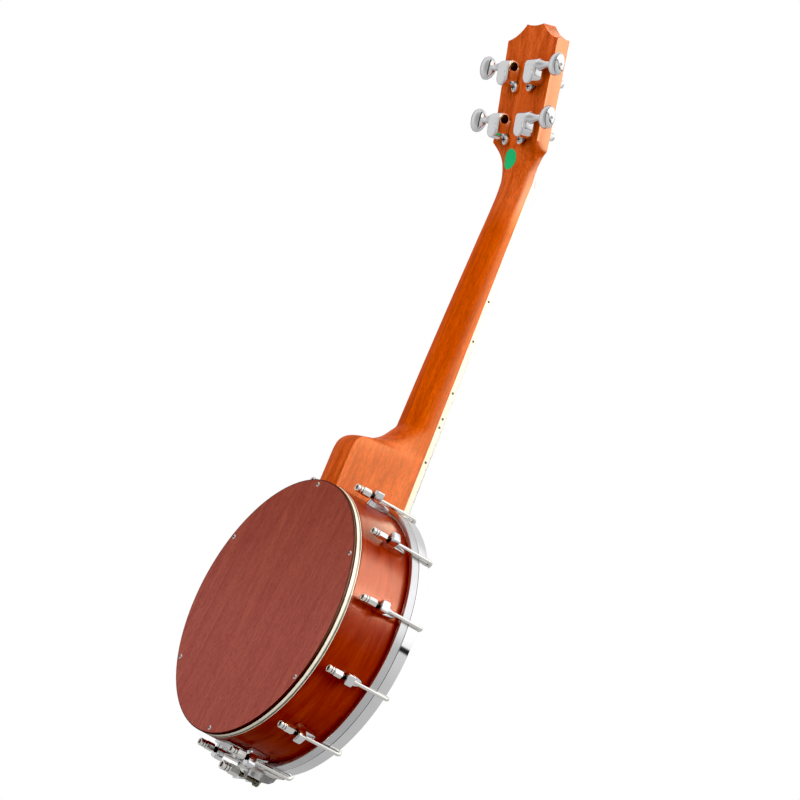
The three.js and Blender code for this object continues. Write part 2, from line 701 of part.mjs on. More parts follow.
// Fingerboard, cut round at the pot, with its frets
function fretPlace(fret) {
  return bridgeZ + SCALE_LENGTH / 2 ** (fret / SEMITONES);
}
const boardZ = [rimInner, nutZ - GAP];
const boardRings = boardZ.map((z) => {
  const half = boardHalfWidth(z);
  const back = -neckFront(z) - GAP;
  return [
    new THREE.Vector3(half, back, z),
    new THREE.Vector3(half, -boardTop(z), z),
    new THREE.Vector3(-half, -boardTop(z), z),
    new THREE.Vector3(-half, back, z),
  ];
});
const boardCutter = [
  [0, -hoopCutBack],
  [neckBase, -hoopCutBack],
  [neckBase, -potCutFront - OVERRUN],
  [0, -potCutFront - OVERRUN],
];
let fingerboard = solid(loft(boardRings)).subtract(solid(turned(boardCutter, POT_FACETS)));
const fretPlaces = [];
for (let fret = 1; fretPlace(fret) > neckBase + LAST_FRET_FROM_END; fret++) {
  fretPlaces.push(fretPlace(fret));
}
for (const z of fretPlaces) {
  const seat = -boardTop(z) + FRET_SEAT;
  const outline = [
    [z - FRET_WIDTH / 2, seat],
    [z - FRET_WIDTH / 2, -boardTop(z)],
    [z - FRET_TOP_WIDTH / 2, -boardTop(z) - FRET_HEIGHT],
    [z + FRET_TOP_WIDTH / 2, -boardTop(z) - FRET_HEIGHT],
    [z + FRET_WIDTH / 2, -boardTop(z)],
    [z + FRET_WIDTH / 2, seat],
  ];
  const width = 2 * (boardHalfWidth(z) - FRET_INSET);
  fingerboard = fingerboard.add(solid(strip(outline, width)));
}
piece("fingerboard", geometryOf(fingerboard), BOARD_WOOD);

// Nut and bridge, with a slot for each string
const nutTop = boardTop(nutZ) + NUT_ABOVE_BOARD;
const bridgeBottom = filmFront + GAP;
const bridgeTop = bridgeBottom + BRIDGE_HEIGHT;
function slots(body, halfSpread, top, length, z) {
  STRING_DIAMETERS.forEach((diameter, i) => {
    const width = diameter + 2 * GAP;
    const x = STRING_SPREAD_SHARES[i] * halfSpread;
    const height = width / 2 + OVERRUN;
    const cutter = box(width, height, length + 2 * OVERRUN, x, -top - height / 2 + width / 2, z);
    body = body.subtract(solid(cutter));
  });
  return body;
}
const nutBottom = neckFront(nutZ) + GAP;
const nutMiddle = nutZ + NUT_LENGTH / 2;
const nutBlock = box(
  2 * NUT_HALF_WIDTH,
  nutTop - nutBottom,
  NUT_LENGTH,
  0,
  -(nutTop + nutBottom) / 2,
  nutMiddle,
);
const stringNut = slots(solid(nutBlock), NUT_STRING_HALF_SPREAD, nutTop, NUT_LENGTH, nutMiddle);
piece("string_nut", geometryOf(stringNut), CREAM);

const bridgeOutline = new THREE.Shape();
bridgeOutline.moveTo(-BRIDGE_HALF_WIDTH, bridgeBottom);
bridgeOutline.lineTo(-BRIDGE_HALF_WIDTH + BRIDGE_SHOULDER, bridgeTop);
bridgeOutline.lineTo(BRIDGE_HALF_WIDTH - BRIDGE_SHOULDER, bridgeTop);
bridgeOutline.lineTo(BRIDGE_HALF_WIDTH, bridgeBottom);
const archCrown = bridgeBottom + 2 * BRIDGE_ARCH;
const footEdge = BRIDGE_HALF_WIDTH - BRIDGE_FOOT;
const footMiddle = BRIDGE_FOOT / 2;
bridgeOutline.lineTo(footEdge, bridgeBottom);
bridgeOutline.quadraticCurveTo((footEdge + footMiddle) / 2, archCrown, footMiddle, bridgeBottom);
bridgeOutline.lineTo(-footMiddle, bridgeBottom);
bridgeOutline.quadraticCurveTo(-(footEdge + footMiddle) / 2, archCrown, -footEdge, bridgeBottom);
const bridgeFront = new THREE.ExtrudeGeometry(bridgeOutline, {
  depth: BRIDGE_BOTTOM_LENGTH + 2 * OVERRUN,
  bevelEnabled: false,
  curveSegments: CROWN_STEPS,
});
bridgeFront.rotateZ(Math.PI).translate(0, 0, bridgeZ - BRIDGE_BOTTOM_LENGTH / 2 - OVERRUN);
const bridgeTaper = strip(
  [
    [bridgeZ - BRIDGE_BOTTOM_LENGTH / 2, -bridgeBottom],
    [bridgeZ - BRIDGE_TOP_LENGTH / 2, -bridgeTop],
    [bridgeZ + BRIDGE_TOP_LENGTH / 2, -bridgeTop],
    [bridgeZ + BRIDGE_BOTTOM_LENGTH / 2, -bridgeBottom],
  ],
  2 * BRIDGE_HALF_WIDTH + 2 * OVERRUN,
);
const bridgeBlank = solid(bridgeFront).intersect(solid(bridgeTaper));
const bridge = slots(
  bridgeBlank,
  BRIDGE_STRING_HALF_SPREAD,
  bridgeTop,
  BRIDGE_BOTTOM_LENGTH,
  bridgeZ,
);
piece("bridge", geometryOf(bridge), MAPLE);

// Tailpiece: a plate for the strings, a wall down the pot's side, an ear for the bolt, two cheeks
const tailTop = tensionFront + GAP + TAIL_SHEET;
const tailWall = hoopOuter + GAP;
const tailWallOuter = tailWall + TAIL_SHEET;
const tailEarBack = POT_DEPTH - TAIL_EAR_SET;
const tailEarFront = tailEarBack + TAIL_SHEET;
const tailTip = hoopOuter - TAIL_REACH;
const tailBoltRadius = hoopOuter + TAIL_BOLT_OUT;
const tailOutline = [
  [-tailTip, -tailTop],
  [-tailTip, -tailTop + TAIL_SHEET],
  [-tailWall, -tailTop + TAIL_SHEET],
  [-tailWall, -tailEarBack],
  [-tailWallOuter - TAIL_EAR_LENGTH, -tailEarBack],
  [-tailWallOuter - TAIL_EAR_LENGTH, -tailEarFront],
  [-tailWallOuter, -tailEarFront],
  [-tailWallOuter, -tailTop + TAIL_BEND],
  [-tailWallOuter + TAIL_BEND, -tailTop],
];
let tailpiece = solid(strip(tailOutline, 2 * TAIL_HALF_WIDTH));
const cheekFoot = tailWallOuter - TAIL_SHEET / 2;
const cheekBack = tailEarBack + TAIL_SHEET / 2;
const cheekOutline = TAIL_CHEEK_SHARES.map(([out, up]) => [
  -cheekFoot - out * TAIL_EAR_LENGTH,
  -cheekBack - up * TAIL_CHEEK_HEIGHT,
]);
cheekOutline.push([-cheekFoot, -cheekBack]);
for (const side of [-1, 1]) {
  const x = side * (TAIL_CHEEK_HALF_WIDTH - TAIL_SHEET / 2);
  tailpiece = tailpiece.add(solid(strip(cheekOutline, TAIL_SHEET, x)));
}
const boltHole = new THREE.CylinderGeometry(
  TAIL_BOLT_DIAMETER / 2 + GAP,
  TAIL_BOLT_DIAMETER / 2 + GAP,
  TAIL_SHEET + OVERRUN,
  TURNED_FACETS,
);
const tailHole = boltHole.clone().translate(0, -tailEarBack - TAIL_SHEET / 2, -tailBoltRadius);
piece("tailpiece", geometryOf(tailpiece.subtract(solid(tailHole))), CHROME);

// Hanger: a plate on the rim with an ear, held by the nut on the rod's stud
const hangerInner = POT_RADIUS + GAP;
const hangerOuter = hangerInner + HANGER_SHEET;
const hangerEarFront = POT_DEPTH - HANGER_EAR_SET;
const hangerEarBack = hangerEarFront - TAIL_SHEET;
const hangerEarEnd = tailBoltRadius + HANGER_EAR_MARGIN;
const hangerOutline = [
  [-hangerInner, -HANGER_BACK],
  [-hangerInner, -hangerEarFront],
  [-hangerEarEnd, -hangerEarFront],
  [-hangerEarEnd, -hangerEarBack],
  [-hangerOuter, -hangerEarBack],
  [-hangerOuter, -HANGER_BACK],
];
const hangerHole = new THREE.CylinderGeometry(
  STUD_DIAMETER / 2 + GAP,
  STUD_DIAMETER / 2 + GAP,
  HANGER_SHEET + 2 * OVERRUN,
  TURNED_FACETS,
);
hangerHole.rotateX(Math.PI / 2).translate(0, -ROD_DEPTH, -(hangerInner + hangerOuter) / 2);
const earHole = boltHole.clone().translate(0, -hangerEarBack - TAIL_SHEET / 2, -tailBoltRadius);
const hanger = solid(strip(hangerOutline, 2 * HANGER_HALF_WIDTH))
  .subtract(solid(hangerHole))
  .subtract(solid(earHole));
piece("tail_hanger", geometryOf(hanger), CHROME);

// Tail bolt and its long nut
const boltHeadBack = tailEarFront + GAP;
const tailNutFront = hangerEarBack - GAP;
const boltProfile = [
  [0, -boltHeadBack - TAIL_BOLT_HEAD_HEIGHT],
  [TAIL_BOLT_HEAD / 2, -boltHeadBack - TAIL_BOLT_HEAD_HEIGHT],
  [TAIL_BOLT_HEAD / 2, -boltHeadBack],
  [TAIL_BOLT_DIAMETER / 2, -boltHeadBack],
  [TAIL_BOLT_DIAMETER / 2, -tailNutFront + TAIL_BOLT_THREAD],
  [0, -tailNutFront + TAIL_BOLT_THREAD],
];
piece("tail_bolt", turned(boltProfile).translate(0, 0, -tailBoltRadius), STEEL);
const tailNutRadius = TAIL_NUT_DIAMETER / 2;
const tailBore = TAIL_BOLT_DIAMETER / 2 + GAP;
const tailNutProfile = [
  [0, -TAIL_NUT_BACK],
  [tailNutRadius - TAIL_NUT_CHAMFER, -TAIL_NUT_BACK],
  [tailNutRadius, -TAIL_NUT_BACK - TAIL_NUT_CHAMFER],
  [tailNutRadius, -tailNutFront],
  [tailBore, -tailNutFront],
  [tailBore, -tailNutFront + TAIL_BOLT_THREAD + GAP],
  [0, -tailNutFront + TAIL_BOLT_THREAD + GAP],
];
piece("tail_bolt_nut", turned(tailNutProfile).translate(0, 0, -tailBoltRadius), CHROME);

// Rod across the pot: a stud into the heel, a stud out through the tail, and the nut there
const rodEnd = Math.sqrt(rimInner ** 2 - (ROD_DIAMETER / 2) ** 2) - GAP;
const rodNutInner = hangerOuter + GAP;
const studEnd = rodNutInner + ROD_NUT_HEIGHT + STUD_PAST_NUT;
const rodProfile = [
  [0, -studEnd],
  [STUD_DIAMETER / 2, -studEnd],
  [STUD_DIAMETER / 2, -rodEnd],
  [ROD_DIAMETER / 2, -rodEnd],
  [ROD_DIAMETER / 2, rodEnd],
  [STUD_DIAMETER / 2, rodEnd],
  [STUD_DIAMETER / 2, studTip],
  [0, studTip],
];
const rod = turned(rodProfile).rotateX(Math.PI / 2).translate(0, -ROD_DEPTH, 0);
piece("coordinator_rod", rod, STEEL);
const nutBore = STUD_DIAMETER / 2 + GAP;
const rodNutRadius = ROD_NUT_ACROSS / 2 / Math.cos(Math.PI / ROD_NUT_SIDES);
const rodNutBlank = new THREE.CylinderGeometry(
  rodNutRadius,
  rodNutRadius,
  ROD_NUT_HEIGHT,
  ROD_NUT_SIDES,
);
const rodNutHole = new THREE.CylinderGeometry(
  nutBore,
  nutBore,
  ROD_NUT_HEIGHT + 2 * OVERRUN,
  TURNED_FACETS,
);
rodNutBlank.rotateY(Math.PI / ROD_NUT_SIDES);
const rodNut = geometryOf(solid(rodNutBlank).subtract(solid(rodNutHole)));
rodNut.rotateX(Math.PI / 2).translate(0, -ROD_DEPTH, -rodNutInner - ROD_NUT_HEIGHT / 2);
piece("rod_nut", rodNut, CHROME);

// Tuners, made beside their string post on the +X side: X outwards, Y out of the back, Z up
const wheelRadius = WHEEL_DIAMETER / 2;
const pocketRadius = wheelRadius + GAP;
const wheelTop = WORM_HEIGHT + WHEEL_THICKNESS / 2;
const wheelBottom = WORM_HEIGHT - WHEEL_THICKNESS / 2;
const postRadius = POST_DIAMETER / 2;
const postTip = -HEAD_THICKNESS - POST_OVER_FRONT;

function across(diameter, endDiameter, from, to) {
  const geometry = new THREE.CylinderGeometry(
    endDiameter / 2,
    diameter / 2,
    to - from,
    TURNED_FACETS,
  );
  geometry.rotateZ(-Math.PI / 2);
  return geometry.translate((from + to) / 2, WORM_HEIGHT, WORM_ABOVE_POST);
}
function upright(radius, bottom, top, x = 0, z = 0) {
  const geometry = new THREE.CylinderGeometry(radius, radius, top - bottom, TURNED_FACETS);
  return geometry.translate(x, (bottom + top) / 2, z);
}

const earReach = Math.hypot(EAR_INSIDE_POST, EAR_BELOW_POST);
const earArm = box(earReach, EAR_HEIGHT, EAR_DIAMETER, -earReach / 2, GAP + EAR_HEIGHT / 2, 0);
earArm.rotateY(-Math.atan2(EAR_BELOW_POST, EAR_INSIDE_POST));
const collarEnd = BARREL_OUTER + COLLAR_LENGTH;
const bore = WORM_DIAMETER + 2 * GAP;
const housing = solid(upright(pocketRadius + HOUSING_WALL, GAP, HOUSING_HEIGHT))
  .add(solid(across(BARREL_DIAMETER, BARREL_DIAMETER, -BARREL_INNER, BARREL_OUTER)))
  .add(solid(across(COLLAR_DIAMETER, COLLAR_END_DIAMETER, 0, collarEnd)))
  .add(solid(earArm))
  .add(solid(upright(EAR_DIAMETER / 2, GAP, GAP + EAR_HEIGHT, -EAR_INSIDE_POST, -EAR_BELOW_POST)))
  .subtract(solid(upright(pocketRadius, -OVERRUN, wheelTop + 2 * GAP)))
  .subtract(solid(across(bore, bore, -WORM_INSIDE - GAP, collarEnd + OVERRUN)));
const housingGeometry = geometryOf(housing);

const buttonInner = collarEnd + GAP;
const buttonRings = BUTTON_SHARES.map(([along, width, thickness]) => {
  return Array.from({ length: TURNED_FACETS }, (_, k) => {
    const turn = (2 * Math.PI * k) / TURNED_FACETS;
    return new THREE.Vector3(
      buttonInner + along * BUTTON_LENGTH,
      WORM_HEIGHT + ((thickness * BUTTON_THICKNESS) / 2) * Math.cos(turn),
      WORM_ABOVE_POST + ((width * BUTTON_HEIGHT) / 2) * Math.sin(turn),
    );
  });
});
const buttonMiddle = buttonInner + BUTTON_LENGTH / 2;
const button = solid(loft(buttonRings)).add(
  solid(across(WORM_DIAMETER, WORM_DIAMETER, -WORM_INSIDE, buttonMiddle)),
);
const buttonGeometry = geometryOf(button);

const postGeometry = turned([
  [0, wheelTop + GAP],
  [postRadius, wheelTop + GAP],
  [postRadius, wheelTop],
  [wheelRadius, wheelTop],
  [wheelRadius, wheelBottom],
  [postRadius, wheelBottom],
  [postRadius, postTip + POST_ROUND],
  [postRadius - POST_ROUND, postTip],
  [0, postTip],
]);
const bushingSeat = -HEAD_THICKNESS - GAP;
const bushingGeometry = turned([
  [postRadius + GAP, bushingSeat + BUSHING_SLEEVE],
  [sleeveRadius, bushingSeat + BUSHING_SLEEVE],
  [sleeveRadius, bushingSeat],
  [BUSHING_DIAMETER / 2, bushingSeat],
  [BUSHING_DIAMETER / 2, bushingSeat - BUSHING_FLANGE],
  [postRadius + GAP, bushingSeat - BUSHING_FLANGE],
]);
postPlaces.forEach(([side, along], i) => {
  const place = new THREE.Group();
  place.position.set(side * POST_HALF_SPREAD, 0, along);
  place.scale.x = side;
  headFrame.add(place);
  piece(`tuner_housing_${i + 1}`, housingGeometry, CHROME, place);
  piece(`tuner_button_${i + 1}`, buttonGeometry, PEARL, place);
  piece(`string_post_${i + 1}`, postGeometry, CHROME, place);
  piece(`tuner_bushing_${i + 1}`, bushingGeometry, CHROME, place);
});

// Strings: over the bridge and the nut to the inner side of their posts
const stringOut = bushingSeat - BUSHING_FLANGE - STRING_OVER_BUSHING;
const stringPosts = [postPlaces[0], postPlaces[2], postPlaces[3], postPlaces[1]];
STRING_DIAMETERS.forEach((diameter, i) => {
  const share = STRING_SPREAD_SHARES[i];
  const [side, along] = stringPosts[i];
  const radius = diameter / 2;
  const tailX = share * TAIL_STRING_HALF_SPREAD;
  const tailY = -tailTop - GAP - radius;
  const postX = side * (POST_HALF_SPREAD - postRadius - GAP - radius);
  const points = [
    new THREE.Vector3(tailX, tailY, -tailTip - STRING_ON_TAIL),
    new THREE.Vector3(tailX, tailY, -tailTip),
    new THREE.Vector3(share * BRIDGE_STRING_HALF_SPREAD, -bridgeTop, bridgeZ),
    new THREE.Vector3(share * NUT_STRING_HALF_SPREAD, -nutTop, nutZ),
    new THREE.Vector3(share * NUT_STRING_HALF_SPREAD, -nutTop, nutEnd),
    headPoint(postX, stringOut, along),
    headPoint(postX, stringOut, along + STRING_TAIL),
  ];
  piece(`string_${i + 1}`, bar(points, radius, STRING_FACETS), STEEL);
});

export default banjoUkulele;
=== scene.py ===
import json
import math

import bmesh
import bpy
import numpy as np
from mathutils import Matrix, Vector
from mathutils.bvhtree import BVHTree

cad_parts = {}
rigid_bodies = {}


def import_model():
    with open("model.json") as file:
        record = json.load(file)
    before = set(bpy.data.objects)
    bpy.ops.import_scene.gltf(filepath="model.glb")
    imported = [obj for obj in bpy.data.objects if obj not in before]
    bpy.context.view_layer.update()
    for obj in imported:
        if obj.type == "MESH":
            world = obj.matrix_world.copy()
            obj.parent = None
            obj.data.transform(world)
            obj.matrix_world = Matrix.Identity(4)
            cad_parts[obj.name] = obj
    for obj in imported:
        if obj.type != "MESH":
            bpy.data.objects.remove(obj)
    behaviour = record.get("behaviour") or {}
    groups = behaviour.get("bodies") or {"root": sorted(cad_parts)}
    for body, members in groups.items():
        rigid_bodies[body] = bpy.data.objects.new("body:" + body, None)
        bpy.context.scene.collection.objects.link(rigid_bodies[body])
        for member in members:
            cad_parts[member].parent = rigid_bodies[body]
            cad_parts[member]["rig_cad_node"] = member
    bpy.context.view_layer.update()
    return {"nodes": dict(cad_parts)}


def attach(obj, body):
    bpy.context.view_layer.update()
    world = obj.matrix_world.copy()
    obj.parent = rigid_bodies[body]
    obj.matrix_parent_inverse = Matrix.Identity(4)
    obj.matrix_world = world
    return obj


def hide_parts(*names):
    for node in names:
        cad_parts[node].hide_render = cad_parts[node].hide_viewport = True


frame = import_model()

MM = 0.001
GAP = 0.3
POT_STEPS = 192
ROUND_STEPS = 28
BAR_SIDES = 16
CORNER_STEPS = 4
ALONG_X = (1, 0, 0)
ALONG_Y = (0, 1, 0)
ALONG_Z = (0, 0, 1)
# degrees between faces over which an edge is sharp: usual, plates, bars and wires
SHARP_ANGLE = 38
PLATE_ANGLE = 30
BAR_ANGLE = 50
WIRE_ANGLE = 70

# Camera and floor
CAMERA_PLACE = (-3753.2, 2089.1, -795.0)
CAMERA_RIGHT = (-0.52888, -0.75987, 0.378)
CAMERA_UP = (0.01403, 0.4375, 0.89911)
CAMERA_LENS = 275.43
CAMERA_SENSOR = 36
CAMERA_CLIP = (0.1, 100)  # metres
BLACK_LEVEL = 0.012
FLOOR_DROP = 1250
FLOOR_SIZE = 60000
FLOOR_COLOUR = (0.8, 0.8, 0.8, 1)
FLOOR_ROUGHNESS = 0.9
FLOOR_GLOW = 0.45
WHITE = (1, 1, 1, 1)

# Lights: name, place, width, height and watts
LIGHT_TARGET = (0, 0, 150)
SOFT_LIGHTS = (
    ("key", (-1100, -350, 380), 900, 900, 12),
    ("fill", (300, 2300, 1500), 3000, 2400, 68),
    ("low_fill", (-500, 900, -1500), 1500, 1500, 14),
)
# these show only as a warm sheen on wood, film and plastic
SHEEN_LIGHTS = (
    ("sheen", (-1170, -460, 1130), 1500, 1100, 265),
    ("far_sheen", (350, -700, 1350), 1000, 800, 28),
    ("head_sheen", (-1170, -620, 700), 520, 300, 36),
    ("side_sheen", (-1495, 413, 900), 600, 500, 120),
)
SHEEN_COLOUR = (1, 0.8, 0.55)
AMBIENT = 0.3

# Cards that polished metal mirrors: height of the direction, from -1 to 1, and brightness there
GREY_SIDE = ((-1, 0.5), (-0.3, 0.66), (-0.1, 0.74), (0.3, 0.76), (0.8, 0.8), (1, 0.5))
DARK_SIDE = ((-1, 0.5), (-0.3, 0.55), (0, 0.4), (0.12, 0.16), (0.3, 0.16), (0.42, 0.7), (1, 0.8))
BRIGHT_SIDE = (
    (-1, 0.4), (-0.3, 0.45), (0.1, 0.55), (0.12, 0.02), (0.17, 0.02),
    (0.19, 0.8), (0.4, 1), (0.9, 1), (1, 0.6),
)
BRIGHT_SIDE_STRENGTH = 1.35
DARK_SIDE_SPAN = (0.3, -0.1)  # from the grey card to the darker one, along Y
BEHIND_SPAN = (0.6, 0.85)  # from these two to the dim card behind the camera, along Y
BEHIND_LEVEL = 0.4
BRIGHT_SIDE_SPAN = (0.3, -0.05)  # from these three to the bright card, along X
SOFTBOX_GAP = ((-0.06, 0), (-0.02, 1), (0.16, 1), (0.22, 0))  # along X, where the cards part
SOFTBOX_GAP_SPAN = (0.2, 0.5)  # along Y, where this gap opens
SOFTBOX_GAP_LEVEL = 0.05

# Finishes; a noise has its scale per metre, detail, roughness and distortion
NOISE_ROUGHNESS = 0.55
GRAIN_SHARE = 0.09
RIM_GRAIN_SHARE = 0.01
BANDS = (95, 3, 0.6, 1.2)
BAND_STOPS = (0.3, 0.5, 0.72)
FIBRES = (640, 4, 0.7)
FINE_FIBRES = (1150, 4, 0.7)
FIBRE_STOPS = ((0.3, 0.76), (0.65, 1.14))
FIBRE_SHARE = 0.8
FIGURE = (620, 4, 0.65, 1.5)
FIGURE_STOPS = ((0.36, 0.62), (0.6, 1.2))
FIGURE_STRETCH = 2.6
PORES = (1400, 2, 0.6)
PORE_STRETCH = 2.2
PORE_SHARE = 0.33
PORE_FADE_SHARE = 0.08
PORE_DEPTH = 0.04
PORE_RELIEF = 0.4
WOOD_ROUGH_SHARES = (0.88, 1.15)
PLATE_EDGE_FADE = 0.2
PLATE_SHADE_SPAN = (-20, 90)  # heights over which the painted shade on the back plate's top comes in
SHAFT_START = (140, 165)  # heights over which the deeper tone of the round shaft comes in
SHAFT_END = (350, 325)
HEAD_HIGHLIGHT_TURN = (0.75, 0.9)  # how far a face turns to +X or -X where the paler painted highlight of the headstock's sides begins
HEAD_HIGHLIGHT_SHARE = 0.8
NECK_SHEEN_TINT = (1, 0.88, 0.6, 1)
PLASTIC_SPECULAR = 0.08
PLASTIC_DETAIL = 4
PLASTIC_ROUGH_SHARES = (0.8, 1.25)
METAL_CLOUDS = (90, 3)
METAL_DULL_SHARE = 0.93
METAL_ROUGH_SHARES = (0.7, 1.4)
STREAKS = (420, 3)
STREAK_STRETCH = 6
STREAK_DEPTH = 0.03

# Pot
POT_RADIUS = 100
POT_DEPTH = 61
RIM_WALL = 11
RIM_ROUND = 0.8
PLATE_THICKNESS = 1.6
PLATE_ROUND = 0.7
BINDING_DEPTH = 4.8
BINDING_WIDTH = 3
EDGE_LINE_DEPTH = 0.6
PURFLING_DEPTHS = (4.7, 5.6, 6.15)  # where the binding's grey, black and white lines begin
PLATE_SCREWS = 6
PLATE_SCREW_RING = 95.9
PLATE_SCREW_TURN = 2.3
PLATE_SCREW_DIAMETER = 3.6
PLATE_SCREW_RISE = 0.5
SCREW_SLOT_WIDTH_SHARE = 0.17
SCREW_SLOT_SHARE = 0.62
SCREW_SLOT_LOW_SHARE = 0.5
SCREW_SLOT_TOP_SHARE = 1.06

# Head and hoops
FILM_THICKNESS = 0.7
FILM_SKIRT = 5
FLESH_HOOP_SET = 11.8
FLESH_HOOP_HEIGHT = 6.3
HOOP_WALL = 3.8
HOOP_ROUND = 0.55
TENSION_HOOP_HEIGHT = 8.3

# Hooks and shoes
HOOKS_PER_SIDE = 6
HOOK_BESIDE_NECK = 8.89
HOOK_BESIDE_HANGER = 14.48
HOOP_SHIFT = 6.16
HOOK_DIAMETER = 3
HOOK_AIR = 0.4
HOOK_BEND = 2.5
HOOK_BEND_STEPS = 8
HOOK_TOE = 2.9
HOOK_END_ROUND = 0.5
THREAD_PITCH = 0.6
THREAD_DEPTH = 0.22
NUT_REACH = 19.4
NUT_LENGTH_ON_HOOK = 12.6
NUT_HEX_START = 5.9
NUT_HEX_WIDTH = 5.5
NUT_CHAMFER = 0.5
NUT_DIAMETER = 5.7
NUT_MOUTH = 3.2
NUT_MOUTH_DEPTH = 1.8
NUT_GROOVES = (2.3, 4.4)
NUT_GROOVE_WIDTH = 0.75
NUT_GROOVE_DEPTH = 0.7
NUT_SHADOW_SHARE = 0.45
NUT_SHADOW_END_SHARE = 0.15
NUT_SHADOW_THICKNESS = 0.3
NUT_SHADOW_AIR = 0.05
SHOE_SET = 30.8
SHOE_LENGTH = 6.6
SHOE_WIDTH = 8.6
SHOE_END_WALL = 4
SHOE_END_ROUND = 1.4
SHOE_END_SHARE = 0.74
SHOE_BLOCK_BACK = 4.5
SHOE_BLOCK_FRONT = 2.1
SHOE_MOUTH_DIAMETER = 5
SHOE_MOUTH_RISE = 0.15
SHOE_FOOT_WIDTH = 8.2
SHOE_FOOT_BACK = 5.2
SHOE_FOOT_FRONT = 13.4
SHOE_FOOT_HEIGHT = 5.7
SHOE_SIDES = 32
SHOE_SQUARE_SHARE = 0.3
SHOE_FOOT_SQUARE_SHARE = 0.6
SHOE_TIP_WIDTH_SHARE = 0.62
# height over the rim, then how far the width, rear end and front end are the foot's there
SHOE_SHARES = (
    (0, 1, 1, 1), (0.3, 1, 0.9, 1), (0.5, 1, 0.62, 0.98), (0.66, 0.96, 0.38, 0.93),
    (0.76, 0.8, 0.24, 0.83), (0.84, 0.5, 0.14, 0.6), (0.92, 0.2, 0.06, 0.26), (1, 0, 0, 0),
)
SHOE_SCREW_HEAD = 8
SHOE_SCREW_HEIGHT = 2.4

# Neck
SCALE_LENGTH = 380
BRIDGE_SETBACK = 20
NUT_HALF_WIDTH = 16.8
NUT_LENGTH = 5
NUT_EDGE_ROUND = 0.3
BOARD_END_HALF_WIDTH = 23.46
NECK_OVER_RIM = 1.6
NECK_FALL = 2.6
HEEL_BACK = 6.5
HEEL_BACK_HALF_WIDTH = 11.6
HEEL_LENGTH = 68
NECK_THICKNESS_AT_HEEL = 13.8
NECK_THICKNESS_AT_NUT = 10.6
SECTION_STEPS = 48
RINGS_BETWEEN = 6
# along the heel, then how far its back has fallen and how square it is there
HEEL_SHARES = (
    (0.39, 0, 0.85), (0.49, 0.015, 0.85), (0.555, 0.06, 0.85), (0.603, 0.135, 0.83),
    (0.633, 0.27, 0.8), (0.66, 0.44, 0.75), (0.709, 0.605, 0.6), (0.775, 0.75, 0.4),
    (0.88, 0.885, 0.2), (1, 1, 0.08),
)
# along the shaft, then how far it has thinned there
NECK_SHARES = ((0.18, 0.03), (0.46, 0.28), (0.75, 0.66), (0.95, 0.96))

# Headstock
HEAD_TILT = 14.5
HEAD_THICKNESS = 10.5
HEAD_BEHIND_FRONT = 9
HEAD_PROUD = 1.4
HEAD_CORNER = 34.6
HEAD_CORNER_HALF_WIDTH = 29.3
HEAD_SHOULDER = 111.3
HEAD_SHOULDER_HALF_WIDTH = 33.1
HEAD_CROWN_RISE = 11.7
HEAD_PEAK_HALF_WIDTH = 10.9
HEAD_DIP = 1.2
SCOOP_SIDE = 20
SCOOP_RISE = 2.2
CROWN_STEPS = 14
OVERRUN = 4
# along the flare, then how far it has widened, how proud its back is and how square it is there
HEAD_FLARE_SHARES = (
    (0.37, 0.16, 0.5, 0.04), (0.477, 0.28, 0.25, 0.08), (0.575, 0.42, 0, 0.12),
    (0.72, 0.66, 0, 0.25), (0.861, 0.99, 0, 0.45), (1, 1, 0, 1),
)
NECK_END_WIDENING_SHARE = 0.05
NECK_END_ALONG_SHARE = 0.116
STICKER_PLACE = (2.5, 21.6)
STICKER_SIZE = (7.9, 7.8)
STICKER_RINGS = 6
STICKER_THICKNESS = 0.15

# Fingerboard
BOARD_THICKNESS = 4
BOARD_BINDING = 1.6
BOARD_SLICES = 16
BOARD_END_TRIES = 3
SEMITONES = 12
FRETS = 18
FRET_WIDTH = 2
FRET_HEIGHT = 0.9
FRET_INSET = 0.8
FRET_STEPS = 8
SIDE_DOT_DIAMETER = 2
FRONT_DOT_DIAMETER = 5
DOT_RISE = 0.12
DOTTED_FRETS = (5, 7, 10, 15)
DOUBLE_DOT_FRET = 12
DOUBLE_DOT_SPREAD = 3.4

# Tuners
POST_HALF_SPREAD = 17.8
LOWER_POST = 42
UPPER_POST = 81.5
POST_DIAMETER = 6
POST_OVER_FRONT = 10
POST_SHOULDER = 1.2
POST_WAIST_DEPTH = 0.6
POST_WAIST_SLOPE = 1
POST_TIP = 2.4
WORM_ABOVE_POST = 8.5
WORM_HEIGHT = 5.4
WORM_DIAMETER = 4.4
WORM_SET = 1.5
WORM_INTO_BUTTON = 1
WORM_ROUND = 0.3
WHEEL_DIAMETER = 11.6
WHEEL_THICKNESS = 3.4
TUNER_ROUND = 0.5
HOUSING_HEIGHT = 10.3
HOUSING_RADIUS = 7.2
HOUSING_FOOT = 6.3
HOUSING_ROUND = 0.8
HOUSING_TAPER_SHARE = 0.03
HOUSING_COVER_RADIUS = 5.6
HOUSING_COVER_RISE = 0.35
BARREL_DIAMETER = 9.4
BARREL_INNER = 7
BARREL_OUTER = 7.8
CAP_INSET = 1.3
CAP_OUT = 0.5
CAP_IN = 1
COLLAR_SET = 1
COLLAR_LENGTH = 12
COLLAR_DIAMETER = 9
COLLAR_END_ROUND = 0.4
# along the collar from the housing, then its width there
COLLAR_SHARES = ((0, 1), (0.2, 0.9), (0.4, 0.74), (0.6, 0.62), (0.8, 0.56), (1, 0.54))
EAR_BELOW_POST = 6.6
EAR_INSIDE_POST = 7.8
EAR_DIAMETER = 7
EAR_HEIGHT = 2.6
EAR_ARM_HEIGHT = 1
EAR_SCREW_DIAMETER = 6
EAR_SCREW_RISE = 0.9
BUTTON_LENGTH = 13.9
BUTTON_HEIGHT = 17.8
BUTTON_THICKNESS = 9.4
BUTTON_SCREW_DIAMETER = 3.2
BUTTON_SCREW_RISE = 0.5
